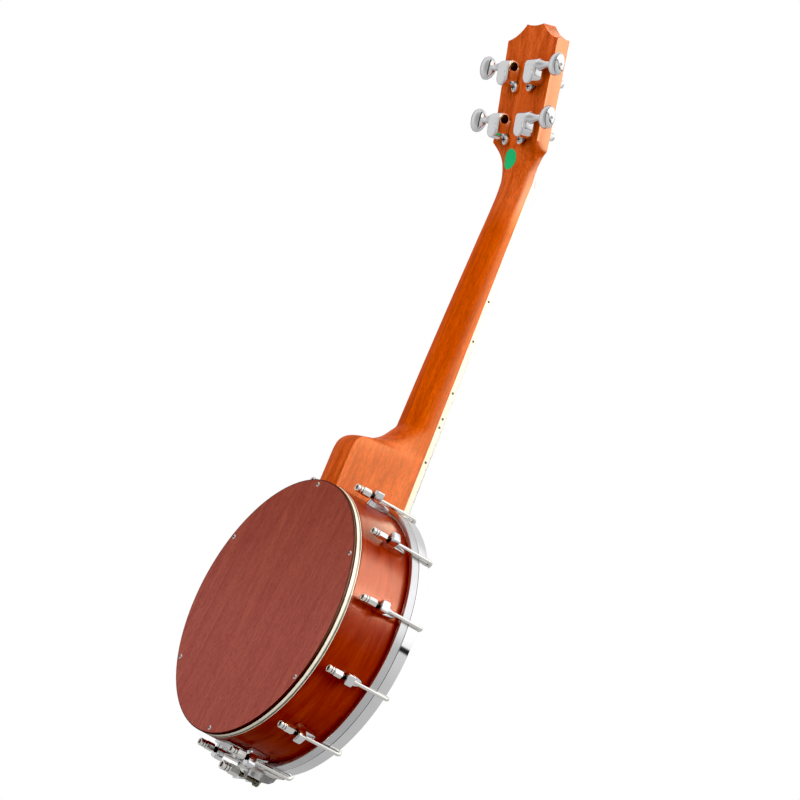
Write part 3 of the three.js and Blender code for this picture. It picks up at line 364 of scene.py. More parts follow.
# along the button from its inner side, then its width and thickness there
BUTTON_SHARES = (
    (0, 0.36, 0.45), (0.05, 0.48, 0.57), (0.16, 0.68, 0.75), (0.35, 0.9, 0.93),
    (0.5, 0.98, 0.985), (0.6, 1, 1), (0.68, 0.995, 0.99), (0.82, 0.95, 0.93),
    (0.93, 0.83, 0.78), (0.98, 0.7, 0.6), (1, 0.5, 0.4),
)
BUSHING_DIAMETER = 9.5
BUSHING_FLANGE = 1.6
BUSHING_SLEEVE = 6
BUSHING_WALL = 0.7
BUSHING_ROUND = 0.4
WINDING_TURNS = 5
WINDING_SET = 1.2
COIL_STEPS = 16
WIRE_SIDES = 8
STRING_DIAMETER = 0.8

# Tailpiece and hanger
TAIL_BOLT_OUT = 10.5
TAIL_NUT_BACK = 18.2
TAIL_NUT_DIAMETER = 7
TAIL_EDGE_ROUND = 0.35
HANGER_HALF_WIDTH = 8.5


def lerp(a, b, share):
    return a + (b - a) * share


# Places worked out from the sizes
rim_inner = POT_RADIUS - RIM_WALL
rim_back = PLATE_THICKNESS + GAP
binding_inner = POT_RADIUS - BINDING_WIDTH
binding_front = rim_back + BINDING_DEPTH
film_inner = POT_RADIUS + GAP
film_outer = film_inner + FILM_THICKNESS
film_back = POT_DEPTH + GAP
film_front = film_back + FILM_THICKNESS
hoop_inner = film_outer + GAP
hoop_outer = hoop_inner + HOOP_WALL
flesh_back = POT_DEPTH - FLESH_HOOP_SET
flesh_front = flesh_back + FLESH_HOOP_HEIGHT
tension_back = flesh_front + GAP
tension_front = tension_back + TENSION_HOOP_HEIGHT
hook_radius = HOOK_DIAMETER / 2
hook_axis = hoop_outer + HOOK_AIR + hook_radius
to_hook_axis = Matrix.Translation((0, 0, hook_axis))
neck_base = hoop_outer + GAP
neck_front_at_pot = POT_DEPTH + NECK_OVER_RIM
shoe_depth = POT_DEPTH - SHOE_SET
nut_back = shoe_depth - NUT_REACH
nut_front = nut_back + NUT_LENGTH_ON_HOOK
bridge_z = -BRIDGE_SETBACK
nut_z = bridge_z + SCALE_LENGTH
head_y = HEAD_BEHIND_FRONT + NECK_FALL - neck_front_at_pot
head_turn = Matrix.Rotation(math.radians(-HEAD_TILT), 4, "X")
head_frame = Matrix.Translation((0, head_y, nut_z)) @ head_turn
worm = (0, WORM_HEIGHT, WORM_ABOVE_POST)
collar_end = BARREL_OUTER + COLLAR_LENGTH
button_inner = collar_end + GAP


def neck_front(z):
    return neck_front_at_pot - NECK_FALL * (z - neck_base) / (nut_z - neck_base)


def board_half_width(z):
    return lerp(BOARD_END_HALF_WIDTH, NUT_HALF_WIDTH, (z - neck_base) / (nut_z - neck_base))


def board_top(z):
    return neck_front(z) + GAP + BOARD_THICKNESS


def fret_place(fret):
    return bridge_z + SCALE_LENGTH / 2 ** (fret / SEMITONES)


# Outlines


def circle(steps, shift=0.0):
    """Cosine and sine at even steps of a turn."""
    turns = [2 * math.pi * (i + shift) / steps for i in range(steps)]
    return [(math.cos(t), math.sin(t)) for t in turns]


def arc(steps, start, end):
    """Cosine and sine at even steps between two angles, which are given in quarter turns."""
    turns = [math.pi / 2 * lerp(start, end, i / steps) for i in range(steps + 1)]
    return [(math.cos(t), math.sin(t)) for t in turns]


def curve(start, control, end, steps):
    """Points of a quadratic curve, with both its ends."""
    start, control, end = Vector(start), Vector(control), Vector(end)
    shares = [i / steps for i in range(steps + 1)]
    return [tuple(start.lerp(control, t).lerp(control.lerp(end, t), t)) for t in shares]


def rounded(corners, radius):
    """The polygon with its corners rounded, apart from those on the axis."""
    result = []
    for i, corner in enumerate(corners):
        here = Vector(corner)
        if here.x == 0 or radius == 0:
            result.append(corner)
            continue
        before, after = Vector(corners[i - 1]), Vector(corners[(i + 1) % len(corners)])
        reach = min(radius, (before - here).length / 2, (after - here).length / 2)
        start = here + (before - here).normalized() * reach
        end = here + (after - here).normalized() * reach
        result += curve(start, here, end, CORNER_STEPS)
    return result


def stepped(*values):
    """A closed outline of right-angled steps, from its first and second coordinates in turn."""
    pairs = list(zip(values, values[1:]))
    corners = [pair[::-1] if i % 2 else pair for i, pair in enumerate(pairs)]
    return corners + [(values[0], values[-1])]


# Mesh parts: each function returns (points, faces) in millimetres


def turned(profile, steps=ROUND_STEPS):
    """A body round the Y axis from a closed outline of (radius, y) points."""
    points, rows = [], []
    for radius, y in profile:
        ring = [(radius * s, y, radius * c) for c, s in circle(steps if radius > 0 else 1)]
        rows.append([len(points) + i for i in range(len(ring))])
        points += ring
    faces = []
    for a, b in zip(rows, rows[1:] + rows[:1]):
        if len(a) == 1 and len(b) == 1:
            continue
        for i in range(steps):
            j = (i + 1) % steps
            quad = [a[i % len(a)], a[j % len(a)], b[j % len(b)], b[i % len(b)]]
            faces.append(list(dict.fromkeys(quad)))
    return points, faces


def loft(rings):
    """A closed skin over rings with the same number of points."""
    sides = len(rings[0])
    points = [tuple(point) for ring in rings for point in ring]
    faces = [list(range(sides)), list(range(len(points) - sides, len(points)))]
    for r in range(len(rings) - 1):
        for i in range(sides):
            a, b = r * sides + i, r * sides + (i + 1) % sides
            faces.append([a, b, b + sides, a + sides])
    return points, faces


def tube(path, radii, sides=BAR_SIDES):
    """A round bar along a path, with a radius for each of its points."""
    path = [Vector(point) for point in path]
    rings, side = [], None
    for i, point in enumerate(path):
        before, after = path[max(i - 1, 0)], path[min(i + 1, len(path) - 1)]
        along = (after - before).normalized()
        side = side or along.orthogonal()
        side = (side - along * side.dot(along)).normalized()
        up = along.cross(side)
        rings.append([point + radii[i] * (side * c + up * s) for c, s in circle(sides)])
    return loft(rings)


def slab(outline, low, high, make=lambda a, b, height: (a, height, b)):
    """A prism over an outline; make gives the point, and without it the prism stands along Y."""
    return loft([[make(a, b, height) for a, b in outline] for height in (low, high)])


def disc(radius, low, high, centre, axis, edge=0.0):
    """A short round body with rounded rims along an axis through a centre."""
    points, faces = turned(rounded(stepped(0, low, radius, high), edge))
    turn = Vector(ALONG_Y).rotation_difference(Vector(axis)).to_matrix()
    return [tuple(turn @ Vector(p) + Vector(centre)) for p in points], faces


def moved(part, matrix):
    points, faces = part
    return [tuple(matrix @ Vector(point)) for point in points], faces


# Objects


def built(name, parts, place=None):
    """A mesh object in metres from parts in millimetres."""
    work = bmesh.new()
    for points, faces in parts:
        corners = [work.verts.new(point) for point in points]
        for face in faces:
            work.faces.new([corners[i] for i in face])
    if place is not None:
        work.transform(place)
    bmesh.ops.recalc_face_normals(work, faces=work.faces)
    work.transform(Matrix.Scale(MM, 4))
    mesh = bpy.data.meshes.new(name)
    work.to_mesh(mesh)
    work.free()
    obj = bpy.data.objects.new(name, mesh)
    bpy.context.scene.collection.objects.link(obj)
    return obj


def dress(obj, finish, body="instrument", sharp=SHARP_ANGLE):
    """Gives an object its material and shading, and its body if it is no CAD node."""
    material, slot = finish
    obj.data.materials.clear()
    obj.data.materials.append(material)
    obj.data.polygons.foreach_set("use_smooth", [True] * len(obj.data.polygons))
    obj.data.set_sharp_from_angle(angle=math.radians(sharp))
    if "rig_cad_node" not in obj:
        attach(obj, body)
    return obj


def piece(name, parts, finish, body="instrument", place=None, node=None):
    """An object of its own; node is the CAD node that it stands for."""
    obj = dress(built(name, parts, place), finish, body)
    if node:
        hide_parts(node)
    return obj


def dress_node(node, finish, sharp, edge=0.0):
    """Gives a CAD solid that stays in view its finish, and rounds its edges."""
    obj = dress(frame["nodes"][node], finish, sharp=sharp)
    if edge:
        bevel = obj.modifiers.new("edges", "BEVEL")
        bevel.width, bevel.segments, bevel.limit_method = edge * MM, 2, "ANGLE"


def cut(obj, parts):
    """Takes closed parts out of an object."""
    for part in parts:
        cutter = built("cutter", [part])
        modifier = obj.modifiers.new("cut", "BOOLEAN")
        modifier.object = cutter
        modifier.operation = "DIFFERENCE"
        modifier.solver = "EXACT"
        bpy.context.view_layer.update()
        result = obj.evaluated_get(bpy.context.evaluated_depsgraph_get())
        shape = bpy.data.meshes.new_from_object(result)
        obj.modifiers.remove(modifier)
        obj.data = shape
        bpy.data.objects.remove(cutter)


# Materials


def rgba(colour):
    """A colour or a grey level with its alpha; a socket stays as it is."""
    if hasattr(colour, "is_output"):
        return colour
    return (*colour, 1) if hasattr(colour, "__len__") else (colour, colour, colour, 1)


class Nodes:
    """Short ways to add nodes to a tree and to join them."""

    def __init__(self, tree):
        self.nodes = tree.nodes
        self.links = tree.links

    def node(self, kind, inputs=None, **settings):
        """A new node; each input takes a value or another node's socket."""
        made = self.nodes.new("ShaderNode" + kind)
        for key, value in settings.items():
            setattr(made, key, value)
        for key, value in (inputs or {}).items():
            if hasattr(value, "is_output"):
                self.links.new(value, made.inputs[key])
            else:
                made.inputs[key].default_value = value
        return made

    def ramp(self, value, stops):
        made = self.node("ValToRGB", {"Fac": value})
        elements = made.color_ramp.elements
        while len(elements) < len(stops):
            elements.new(0.5)
        for element, (place, colour) in zip(elements, stops):
            element.position = place
            element.color = rgba(colour)
        return made.outputs["Color"]

    def map_range(self, value, low, high, to_low=0.0, to_high=1.0):
        ends = {"From Min": low, "From Max": high, "To Min": to_low, "To Max": to_high}
        return self.node("MapRange", {"Value": value, **ends}).outputs[0]

    def maths(self, operation, *values):
        return self.node("Math", dict(enumerate(values)), operation=operation).outputs[0]


class Shader(Nodes):
    """A node material; values are the surface's own, by their sockets' names."""

    def __init__(self, name, **values):
        self.material = bpy.data.materials.new(name)
        self.material.use_nodes = True
        super().__init__(self.material.node_tree)
        self.surface = self.nodes["Principled BSDF"].inputs
        for key, value in values.items():
            self.surface[key.replace("_", " ")].default_value = value

    def axis(self, index, coordinates="Object"):
        place = self.node("TexCoord").outputs[coordinates]
        return self.node("SeparateXYZ", {0: place}).outputs[index]

    def stretched(self, scale=(1, 1, 1)):
        """Object coordinates in metres, scaled per axis."""
        place = self.node("TexCoord").outputs["Object"]
        return self.node("Mapping", {"Vector": place, "Scale": scale}).outputs[0]

    def noise(self, vector, scale, detail, rough=NOISE_ROUGHNESS, distortion=0.0):
        shape = {"Scale": scale, "Detail": detail, "Roughness": rough, "Distortion": distortion}
        return self.node("TexNoise", {"Vector": vector, **shape}).outputs[0]

    def mix(self, share, a, b, blend="MIX"):
        inputs = {0: share, 6: rgba(a), 7: rgba(b)}
        return self.node("Mix", inputs, data_type="RGBA", blend_type=blend).outputs[2]

    def colour(self, socket):
        self.links.new(socket, self.surface["Base Color"])

    def roughness(self, socket, middle, shares):
        ends = [middle * share for share in shares]
        self.links.new(self.map_range(socket, 0, 1, *ends), self.surface["Roughness"])

    def bump(self, socket, depth, strength):
        inputs = {"Height": socket, "Distance": depth * MM, "Strength": strength}
        self.links.new(self.node("Bump", inputs).outputs[0], self.surface["Normal"])


def wood(
    name,
    slot,
    tones,
    pore,
    grain,
    pore_share=PORE_SHARE,
    fibres=FIBRES,
    figure_share=0,
    edge=None,
    tone_and_shade=None,
    **values,
):
    """Wood with bands, fibres, curly figure and pores; tones run from dark to light.

    edge is a share function and the colour that it brings in, on the neck a painted highlight on the
    headstock's sides; the argument after it takes a share function and a multiplier, which is painted
    shade on the back plate's top and a deeper tone on the neck's shaft.
    """
    shader = Shader(name, **values)
    along = grain(shader)
    fine = shader.noise(along, *fibres)
    flecks = shader.noise(grain(shader, PORE_STRETCH), *PORES)
    base = shader.ramp(shader.noise(along, *BANDS), tuple(zip(BAND_STOPS, tones)))
    base = shader.mix(FIBRE_SHARE, base, shader.ramp(fine, FIBRE_STOPS), "MULTIPLY")
    if figure_share:
        curls = shader.noise(grain(shader, FIGURE_STRETCH), *FIGURE)
        base = shader.mix(figure_share, base, shader.ramp(curls, FIGURE_STOPS), "MULTIPLY")
    pores = shader.ramp(flecks, ((pore_share, 1), (pore_share + PORE_FADE_SHARE, 0)))
    base = shader.mix(pores, base, pore)
    if edge:
        base = shader.mix(edge[0](shader), base, edge[1])
    if tone_and_shade:
        base = shader.mix(tone_and_shade[0](shader), base, shader.mix(1.0, base, tone_and_shade[1], "MULTIPLY"))
    shader.colour(base)
    shader.roughness(fine, values["Roughness"], WOOD_ROUGH_SHARES)
    shader.bump(flecks, PORE_DEPTH, PORE_RELIEF)
    return shader.material, slot


def plate_edge_share(shader):
    """One on the rounded edge of the back plate and zero inside it."""
    reach = shader.node("VectorMath", {0: shader.stretched((1, 0, 1))}, operation="LENGTH")
    start = POT_RADIUS - PLATE_ROUND
    return shader.map_range(reach.outputs["Value"], (start - PLATE_EDGE_FADE) * MM, start * MM)


def plate_top_shade_share(shader):
    """Painted shade on the back plate: rises from zero at the pot's middle to one at its top."""
    return shader.map_range(shader.axis(2), *[height * MM for height in PLATE_SHADE_SPAN])


def shaft_share(shader):
    """One on the neck's round shaft and zero on its heel and headstock."""
    spans = [[height * MM for height in span] for span in (SHAFT_START, SHAFT_END)]
    return shader.maths("MULTIPLY", *[shader.map_range(shader.axis(2), *span) for span in spans])


def head_side_highlight_share(shader):
    """Painted highlight: high on the flat sides of the headstock and zero elsewhere on the neck."""
    start, end = SHAFT_END
    above = shader.map_range(shader.axis(2), end * MM, start * MM)
    sideways = shader.maths("ABSOLUTE", shader.axis(0, "Normal"))
    return shader.maths("MULTIPLY", above, shader.map_range(sideways, *HEAD_HIGHLIGHT_TURN, 0, HEAD_HIGHLIGHT_SHARE))


def straight_grain(scale=(1, 1, GRAIN_SHARE), turn=0):
    """Grain along the axis whose scale is small, turned about +Y by degrees."""

    def build(shader, stretch=1.0):
        turning = {"Vector": shader.node("TexCoord").outputs["Object"], "Angle": math.radians(turn)}
        place = shader.node("VectorRotate", turning, rotation_type="Y_AXIS").outputs[0]
        lengths = [share if share == 1 else share * stretch for share in scale]
        return shader.node("Mapping", {"Vector": place, "Scale": lengths}).outputs[0]

    return build


def round_grain(shader, stretch=1.0):
    """Grain round the pot: coordinates unrolled from its side."""
    turn = shader.maths("ARCTAN2", shader.axis(0), shader.axis(2))
    around = shader.maths("MULTIPLY", turn, RIM_GRAIN_SHARE * stretch)
    return shader.node("CombineXYZ", {0: around, 1: shader.axis(1)}).outputs[0]


def plastic(name, slot, dark, light, rough, scale=60):
    """A smooth finish whose colour varies a little between two tones."""
    shader = Shader(name, Specular_IOR_Level=PLASTIC_SPECULAR)
    cloud = shader.noise(shader.stretched(), scale, PLASTIC_DETAIL)
    shader.colour(shader.mix(cloud, dark, light))
    shader.roughness(cloud, rough, PLASTIC_ROUGH_SHARES)
    return shader.material, slot


polished = []  # the metals' materials, which mirror the world's cards and none of the lights


def metal(name, slot, colour, rough, streak=0.0):
    """Metal whose polish varies a little, with fine streaks if it is brushed."""
    shader = Shader(name, Metallic=1.0)
    cloud = shader.noise(shader.stretched(), *METAL_CLOUDS)
    shader.colour(shader.mix(cloud, colour, [level * METAL_DULL_SHARE for level in colour]))
    shader.roughness(cloud, rough, METAL_ROUGH_SHARES)
    if streak:
        streaks = shader.noise(shader.stretched((1, STREAK_STRETCH, 1)), *STREAKS)
        shader.bump(streaks, STREAK_DEPTH, streak)
    polished.append(shader.material)
    return shader.material, slot


rim_wood = wood(
    "Rim lacquered wood",
    "rim_wood",
    ((0.22, 0.017, 0.005), (0.28, 0.026, 0.007), (0.34, 0.039, 0.01)),
    (0.2, 0.014, 0.003),
    round_grain,
    pore_share=0.3,
    Roughness=0.25,
    Specular_IOR_Level=0.05,
)
back_wood = wood(
    "Back matte wood",
    "back_wood",
    ((0.28, 0.056, 0.046), (0.31, 0.073, 0.057), (0.35, 0.088, 0.062)),
    (0.2, 0.036, 0.028),
    straight_grain(turn=10),
    fibres=FINE_FIBRES,
    figure_share=0.45,
    edge=(plate_edge_share, (0.035, 0.005, 0.003)),
    # the back plate darkens towards its top as painted shade
    tone_and_shade=(plate_top_shade_share, (0.8, 0.68, 0.55)),
    Roughness=0.6,
    Specular_IOR_Level=0.1,
)
neck_wood = wood(
    "Neck satin wood",
    "neck_wood",
    ((0.42, 0.058, 0.01), (0.56, 0.09, 0.015), (0.7, 0.135, 0.03)),
    (0.36, 0.045, 0.012),
    straight_grain(),
    pore_share=0.31,
    figure_share=0.52,
    # the paler colour on the headstock's flat sides is a painted highlight
    edge=(head_side_highlight_share, (0.85, 0.33, 0.18)),
    tone_and_shade=(shaft_share, (0.95, 0.76, 0.2)),
    Roughness=0.5,
    Specular_IOR_Level=0.08,
    Specular_Tint=NECK_SHEEN_TINT,
)
board_wood = wood(
    "Fingerboard dark wood",
    "fingerboard",
    ((0.035, 0.016, 0.012), (0.06, 0.028, 0.02), (0.1, 0.05, 0.034)),
    (0.015, 0.008, 0.006),
    straight_grain(),
    Roughness=0.45,
    Specular_IOR_Level=PLASTIC_SPECULAR,
)
maple = wood(
    "Bridge pale wood",
    "bridge",
    ((0.5, 0.33, 0.17), (0.62, 0.43, 0.24), (0.7, 0.52, 0.32)),
    (0.4, 0.24, 0.12),
    straight_grain((GRAIN_SHARE, 1, 1)),
    pore_share=0.25,
    Roughness=0.42,
    Specular_IOR_Level=PLASTIC_SPECULAR,
)
cream = plastic("Cream binding", "binding", (0.86, 0.8, 0.62), (0.93, 0.88, 0.72), 0.28)
board_cream = plastic("Pale edge binding", "binding", (0.8, 0.72, 0.54), (0.88, 0.81, 0.64), 0.3)
edge_brown = plastic("Dark edge", "back_wood", (0.03, 0.006, 0.004), (0.05, 0.009, 0.005), 0.5)
line_grey = plastic("Grey line", "binding", (0.22, 0.2, 0.19), (0.3, 0.28, 0.26), 0.4)
line_black = plastic("Black line", "binding", (0.012, 0.01, 0.01), (0.03, 0.02, 0.02), 0.35)
shadow_black = (line_black[0], "dark_steel")
black_cap = plastic("Black cap", "dark_steel", (0.01, 0.008, 0.006), (0.02, 0.012, 0.008), 0.3)
bone = plastic("Nut bone", "nut", (0.84, 0.79, 0.66), (0.92, 0.88, 0.78), 0.3, 300)
pearl = plastic("Dot pearl", "nut", (0.8, 0.8, 0.76), (0.9, 0.88, 0.86), 0.2, 500)
film = plastic("Head film", "head_film", (0.87, 0.87, 0.85), (0.92, 0.92, 0.9), 0.5, 40)
green = plastic("Green sticker", "neck_wood", (0.015, 0.4, 0.14), (0.02, 0.45, 0.16), 0.5)
string_gut = plastic("String nylon", "strings", (0.8, 0.8, 0.78), (0.88, 0.88, 0.85), 0.25)
flesh_metal = metal("Flesh hoop aluminium", "flesh_hoop", (0.74, 0.74, 0.75), 0.3, 0.3)
hoop_metal = metal("Tension hoop chrome", "tension_hoop", (0.86, 0.86, 0.87), 0.05)
hook_metal = metal("Hook chrome", "hook_metal", (0.88, 0.86, 0.82), 0.12)
shoe_metal = metal("Shoe chrome", "shoe_metal", (0.84, 0.84, 0.85), 0.1)
tail_metal = metal("Tail chrome", "tail_metal", (0.82, 0.81, 0.8), 0.12)
tuner_metal = metal("Tuner chrome", "tuner_metal", (0.85, 0.85, 0.86), 0.09)
button_metal = metal("Button chrome", "button_metal", (0.86, 0.86, 0.87), 0.09)
dark_steel = metal("Dark steel", "dark_steel", (0.2, 0.18, 0.14), 0.3)
rod_steel = metal("Turned steel", "rod_steel", (0.6, 0.6, 0.61), 0.3, 0.5)
fret_metal = metal("Fret nickel", "fingerboard", (0.72, 0.7, 0.66), 0.18)


# Pot


def pot_piece(name, node, profile, edge, finish):
    """A body round the pot's axis that stands for a CAD node."""
    piece(name, [turned(rounded(profile, edge), POT_STEPS)], finish, node=node)


def make_pot():
    ledge = binding_front + GAP
    rim = stepped(rim_inner, -rim_back, binding_inner - GAP, -ledge, POT_RADIUS, -POT_DEPTH)
    pot_piece("rim_wall", "rim", rim, RIM_ROUND, rim_wood)
    plate = stepped(0, 0, POT_RADIUS, -PLATE_THICKNESS)
    pot_piece("back_board", "back_plate", plate, PLATE_ROUND, back_wood)

    depths = (rim_back, rim_back + EDGE_LINE_DEPTH, *PURFLING_DEPTHS, binding_front)
    for i, finish in enumerate((edge_brown, cream, line_grey, line_black, board_cream)):
        ring = turned(stepped(binding_inner, -depths[i], POT_RADIUS, -depths[i + 1]), POT_STEPS)
        piece(f"edge_line_{i + 1}", [ring], finish, node="back_binding" if finish is cream else None)

    first = math.radians(PLATE_SCREW_TURN) * PLATE_SCREWS / (2 * math.pi)
    for i, (c, s) in enumerate(circle(PLATE_SCREWS, first)):
        place = Matrix.Translation((-PLATE_SCREW_RING * s, 0, PLATE_SCREW_RING * c))
        cross_screw(f"back_screw_{i + 1}", PLATE_SCREW_DIAMETER, PLATE_SCREW_RISE, place)

    skirt = FILM_SKIRT - flesh_front
    skin = stepped(0, -film_front, film_outer, skirt, film_inner, -film_back)
    pot_piece("head_skin", "drum_head", skin, FILM_THICKNESS, film)
    flesh = stepped(hoop_inner, -flesh_back, hoop_outer, -flesh_front)
    pot_piece("flesh_ring", "flesh_hoop", flesh, HOOP_ROUND, flesh_metal)
    tension = stepped(hoop_inner, -tension_back, hoop_outer, -tension_front)
    pot_piece("tension_ring", "tension_hoop", tension, HOOP_ROUND, hoop_metal)


def cross_screw(name, diameter, rise, place, body="instrument", finish=hook_metal):
    """A domed screw head with a cross, its foot at the place and its axis along +Y."""
    radius = diameter / 2
    dome = [(radius * s, rise * c) for c, s in arc(CORNER_STEPS + 1, 0, 1)]
    dome += [(radius, -rise), (0, -rise)]
    piece(name, [moved(turned(dome), place)], finish, body)
    long, thin = radius * SCREW_SLOT_SHARE, radius * SCREW_SLOT_WIDTH_SHARE
    ends = rise * SCREW_SLOT_LOW_SHARE, rise * SCREW_SLOT_TOP_SHARE
    bars = [slab(stepped(-x, -z, x, z), *ends) for x, z in ((long, thin), (thin, long))]
    piece(name + "_cross", [moved(bar, place) for bar in bars], line_black, body)


# Hooks and shoes


def hook_turns():
    first = math.asin((BOARD_END_HALF_WIDTH + HOOK_BESIDE_NECK) / hook_axis)
    last = math.pi - math.asin((HANGER_HALF_WIDTH + HOOK_BESIDE_HANGER) / hook_axis)
    turns = [lerp(first, last, i / (HOOKS_PER_SIDE - 1)) for i in range(HOOKS_PER_SIDE)]
    return [HOOP_SHIFT / hook_axis + side * turn for side in (1, -1) for turn in turns]


def shoe_ring(radius, half_width, back, front, foot=0.0):
    """An outline round the shoe; foot is one at the rim, where it is rounder."""
    square = lerp(SHOE_SQUARE_SHARE, SHOE_FOOT_SQUARE_SHARE, foot)
    half_length, middle = (back + front) / 2, shoe_depth + (front - back) / 2
    ring = []
    for c, s in circle(SHOE_SIDES, 0.5):
        across = math.copysign(abs(c) ** square, c)
        along = math.copysign(abs(s) ** square, s)
        narrowing = lerp(1, SHOE_TIP_WIDTH_SHARE, foot * (1 - along) / 2)
        ring.append((half_width * across * narrowing, half_length * along - middle, radius))
    return ring


def shoe_parts():
    """The flared shoe, and the head of the screw that holds it from inside the rim."""
    end = hook_axis + hook_radius + GAP + SHOE_END_WALL
    rings = []
    for share, width, back, front in SHOE_SHARES:
        half_width = lerp(SHOE_WIDTH, SHOE_FOOT_WIDTH, width) / 2
        back = lerp(SHOE_BLOCK_BACK, SHOE_FOOT_BACK, back)
        length = lerp(SHOE_BLOCK_FRONT, SHOE_FOOT_FRONT, front)
        height = POT_RADIUS + GAP + share * SHOE_FOOT_HEIGHT
        rings.append(shoe_ring(height, half_width, back, length, front))
    for c, s in arc(CORNER_STEPS, 0, 1):
        share = lerp(SHOE_END_SHARE, 1, c)
        ends = [share * length for length in (SHOE_WIDTH / 2, SHOE_BLOCK_BACK, SHOE_BLOCK_FRONT)]
        rings.append(shoe_ring(end - SHOE_END_ROUND * (1 - s), *ends))
    seat = rim_inner - GAP
    centre = (0, -shoe_depth, 0)
    edge = SHOE_SCREW_HEIGHT / 2
    head = disc(SHOE_SCREW_HEAD / 2, seat - SHOE_SCREW_HEIGHT, seat, centre, ALONG_Z, edge)
    return [loft(rings), head]


def hook_parts():
    """The rod with its thread, its bend and the toe that grips the hoop."""
    toe_depth = tension_front + GAP + hook_radius
    path, radii = [], []
    thread_end = nut_front + SHOE_LENGTH / 2
    y = nut_front - GAP
    while y < thread_end:
        path.append((0, -y, hook_axis))
        radii.append(hook_radius - THREAD_DEPTH * (len(path) % 2))
        y += THREAD_PITCH / 2
    path.append((0, -thread_end - THREAD_PITCH, hook_axis))
    for c, s in arc(HOOK_BEND_STEPS, 0, 1):
        path.append((0, HOOK_BEND * (1 - s) - toe_depth, hook_axis - HOOK_BEND * (1 - c)))
    toe = hoop_outer - HOOK_TOE
    path += [(0, -toe_depth, toe + HOOK_END_ROUND), (0, -toe_depth, toe)]
    radii += [hook_radius] * (len(path) - len(radii))
    radii[-1] -= HOOK_END_ROUND
    return [tube(path, radii)]


def hook_nut_parts():
    """The nut's round grooved tip and its six-sided body."""
    radius = NUT_DIAMETER / 2
    outline = [(0, NUT_MOUTH_DEPTH), (NUT_MOUTH / 2, NUT_MOUTH_DEPTH), (NUT_MOUTH / 2, 0)]
    outline.append((radius, 0))
    for groove in NUT_GROOVES:
        outline += [
            (radius, groove),
            (radius - NUT_GROOVE_DEPTH, groove + NUT_GROOVE_WIDTH / 3),
            (radius - NUT_GROOVE_DEPTH, groove + NUT_GROOVE_WIDTH * 2 / 3),
            (radius, groove + NUT_GROOVE_WIDTH),
        ]
    outline += [(radius, NUT_HEX_START), (0, NUT_HEX_START)]
    profile = rounded([(r, -nut_back - along) for r, along in outline], NUT_CHAMFER)
    corner = NUT_HEX_WIDTH / math.sqrt(3)
    rings = []
    for along, reach in (
        (NUT_HEX_START - NUT_CHAMFER, corner - NUT_CHAMFER),
        (NUT_HEX_START, corner),
        (NUT_LENGTH_ON_HOOK - NUT_CHAMFER, corner),
        (NUT_LENGTH_ON_HOOK, corner - NUT_CHAMFER),
    ):
        rings.append([(reach * s, -nut_back - along, reach * c) for c, s in circle(6)])
    return [moved(part, to_hook_axis) for part in (turned(profile), loft(rings))]


def nut_shadow_parts():
    """Dark fillings of painted shade at the bottom of the nut's grooves, and a disc of it in the socket in
    its tip.
    """
    parts = []
    radius = NUT_DIAMETER / 2 - NUT_GROOVE_DEPTH * NUT_SHADOW_SHARE
    centre = (0, 0, hook_axis)
    for groove in NUT_GROOVES:
        start = -nut_back - groove
        inset = NUT_GROOVE_WIDTH * NUT_SHADOW_END_SHARE
        parts.append(disc(radius, start - NUT_GROOVE_WIDTH + inset, start - inset, centre, ALONG_Y))
    low = -nut_back - NUT_MOUTH_DEPTH
    radius = NUT_MOUTH / 2 - NUT_SHADOW_AIR
    parts.append(disc(radius, low, low + NUT_SHADOW_THICKNESS, centre, ALONG_Y))
    return parts


def thread_part():
    """The dark thread between nut and shoe, its black partly the steel's own and partly painted shade,
    with a disc of painted shade at the mouth of its hole.
    """
    thread, mouth = hook_radius + THREAD_DEPTH, SHOE_MOUTH_DIAMETER / 2
    y = SHOE_BLOCK_BACK - shoe_depth
    outline = stepped(0, -nut_front, thread, y + SHOE_MOUTH_RISE, mouth, y - SHOE_MOUTH_RISE)
    return moved(turned(outline), to_hook_axis)


def make_hooks():
    for i, turn in enumerate(hook_turns()):
        place = Matrix.Rotation(-turn, 4, "Y")
        number = i + 1
        shoe, hook = f"shoe_{number}", f"hook_{number}"
        piece(f"shoe_block_{number}", shoe_parts(), shoe_metal, place=place, node=shoe)
        piece(f"hook_thread_{number}", [thread_part()], shadow_black, place=place)
        piece(f"hook_rod_{number}", hook_parts(), hook_metal, place=place, node=hook)
        piece(f"hook_nut_{number}", hook_nut_parts(), hook_metal, place=place)
        piece(f"nut_shadow_{number}", nut_shadow_parts(), shadow_black, place=place)


# Neck and fingerboard


def neck_section(front, back, half_width, back_half_width, square):
    """Half a round section, or a box as far as square says, between a front and a back point."""
    quarter = SECTION_STEPS / 4
    ring = []
    for i, (c, s) in enumerate(arc(SECTION_STEPS, 0, 2)):
        flank = min(i, SECTION_STEPS - i, quarter) / quarter
        across = min(max((SECTION_STEPS / 2 - i) / quarter, -1), 1)
        box_half_width = lerp(half_width, back_half_width, flank)
        x = lerp(half_width * c, box_half_width * across, square)
        point = Vector(front).lerp(Vector(back), lerp(s, flank, square))
        ring.append((x, point.y, point.z))
    return ring


def upright_section(z, back_depth, square):
    front, back = (0, -neck_front(z), z), (0, -back_depth, z)
    return neck_section(front, back, board_half_width(z), HEEL_BACK_HALF_WIDTH, square)


def head_section(along, half_width, out, square):
    front, back = (head_frame @ Vector((0, y, along)) for y in (-HEAD_THICKNESS, out))
    return neck_section(front, back, half_width, half_width, square)


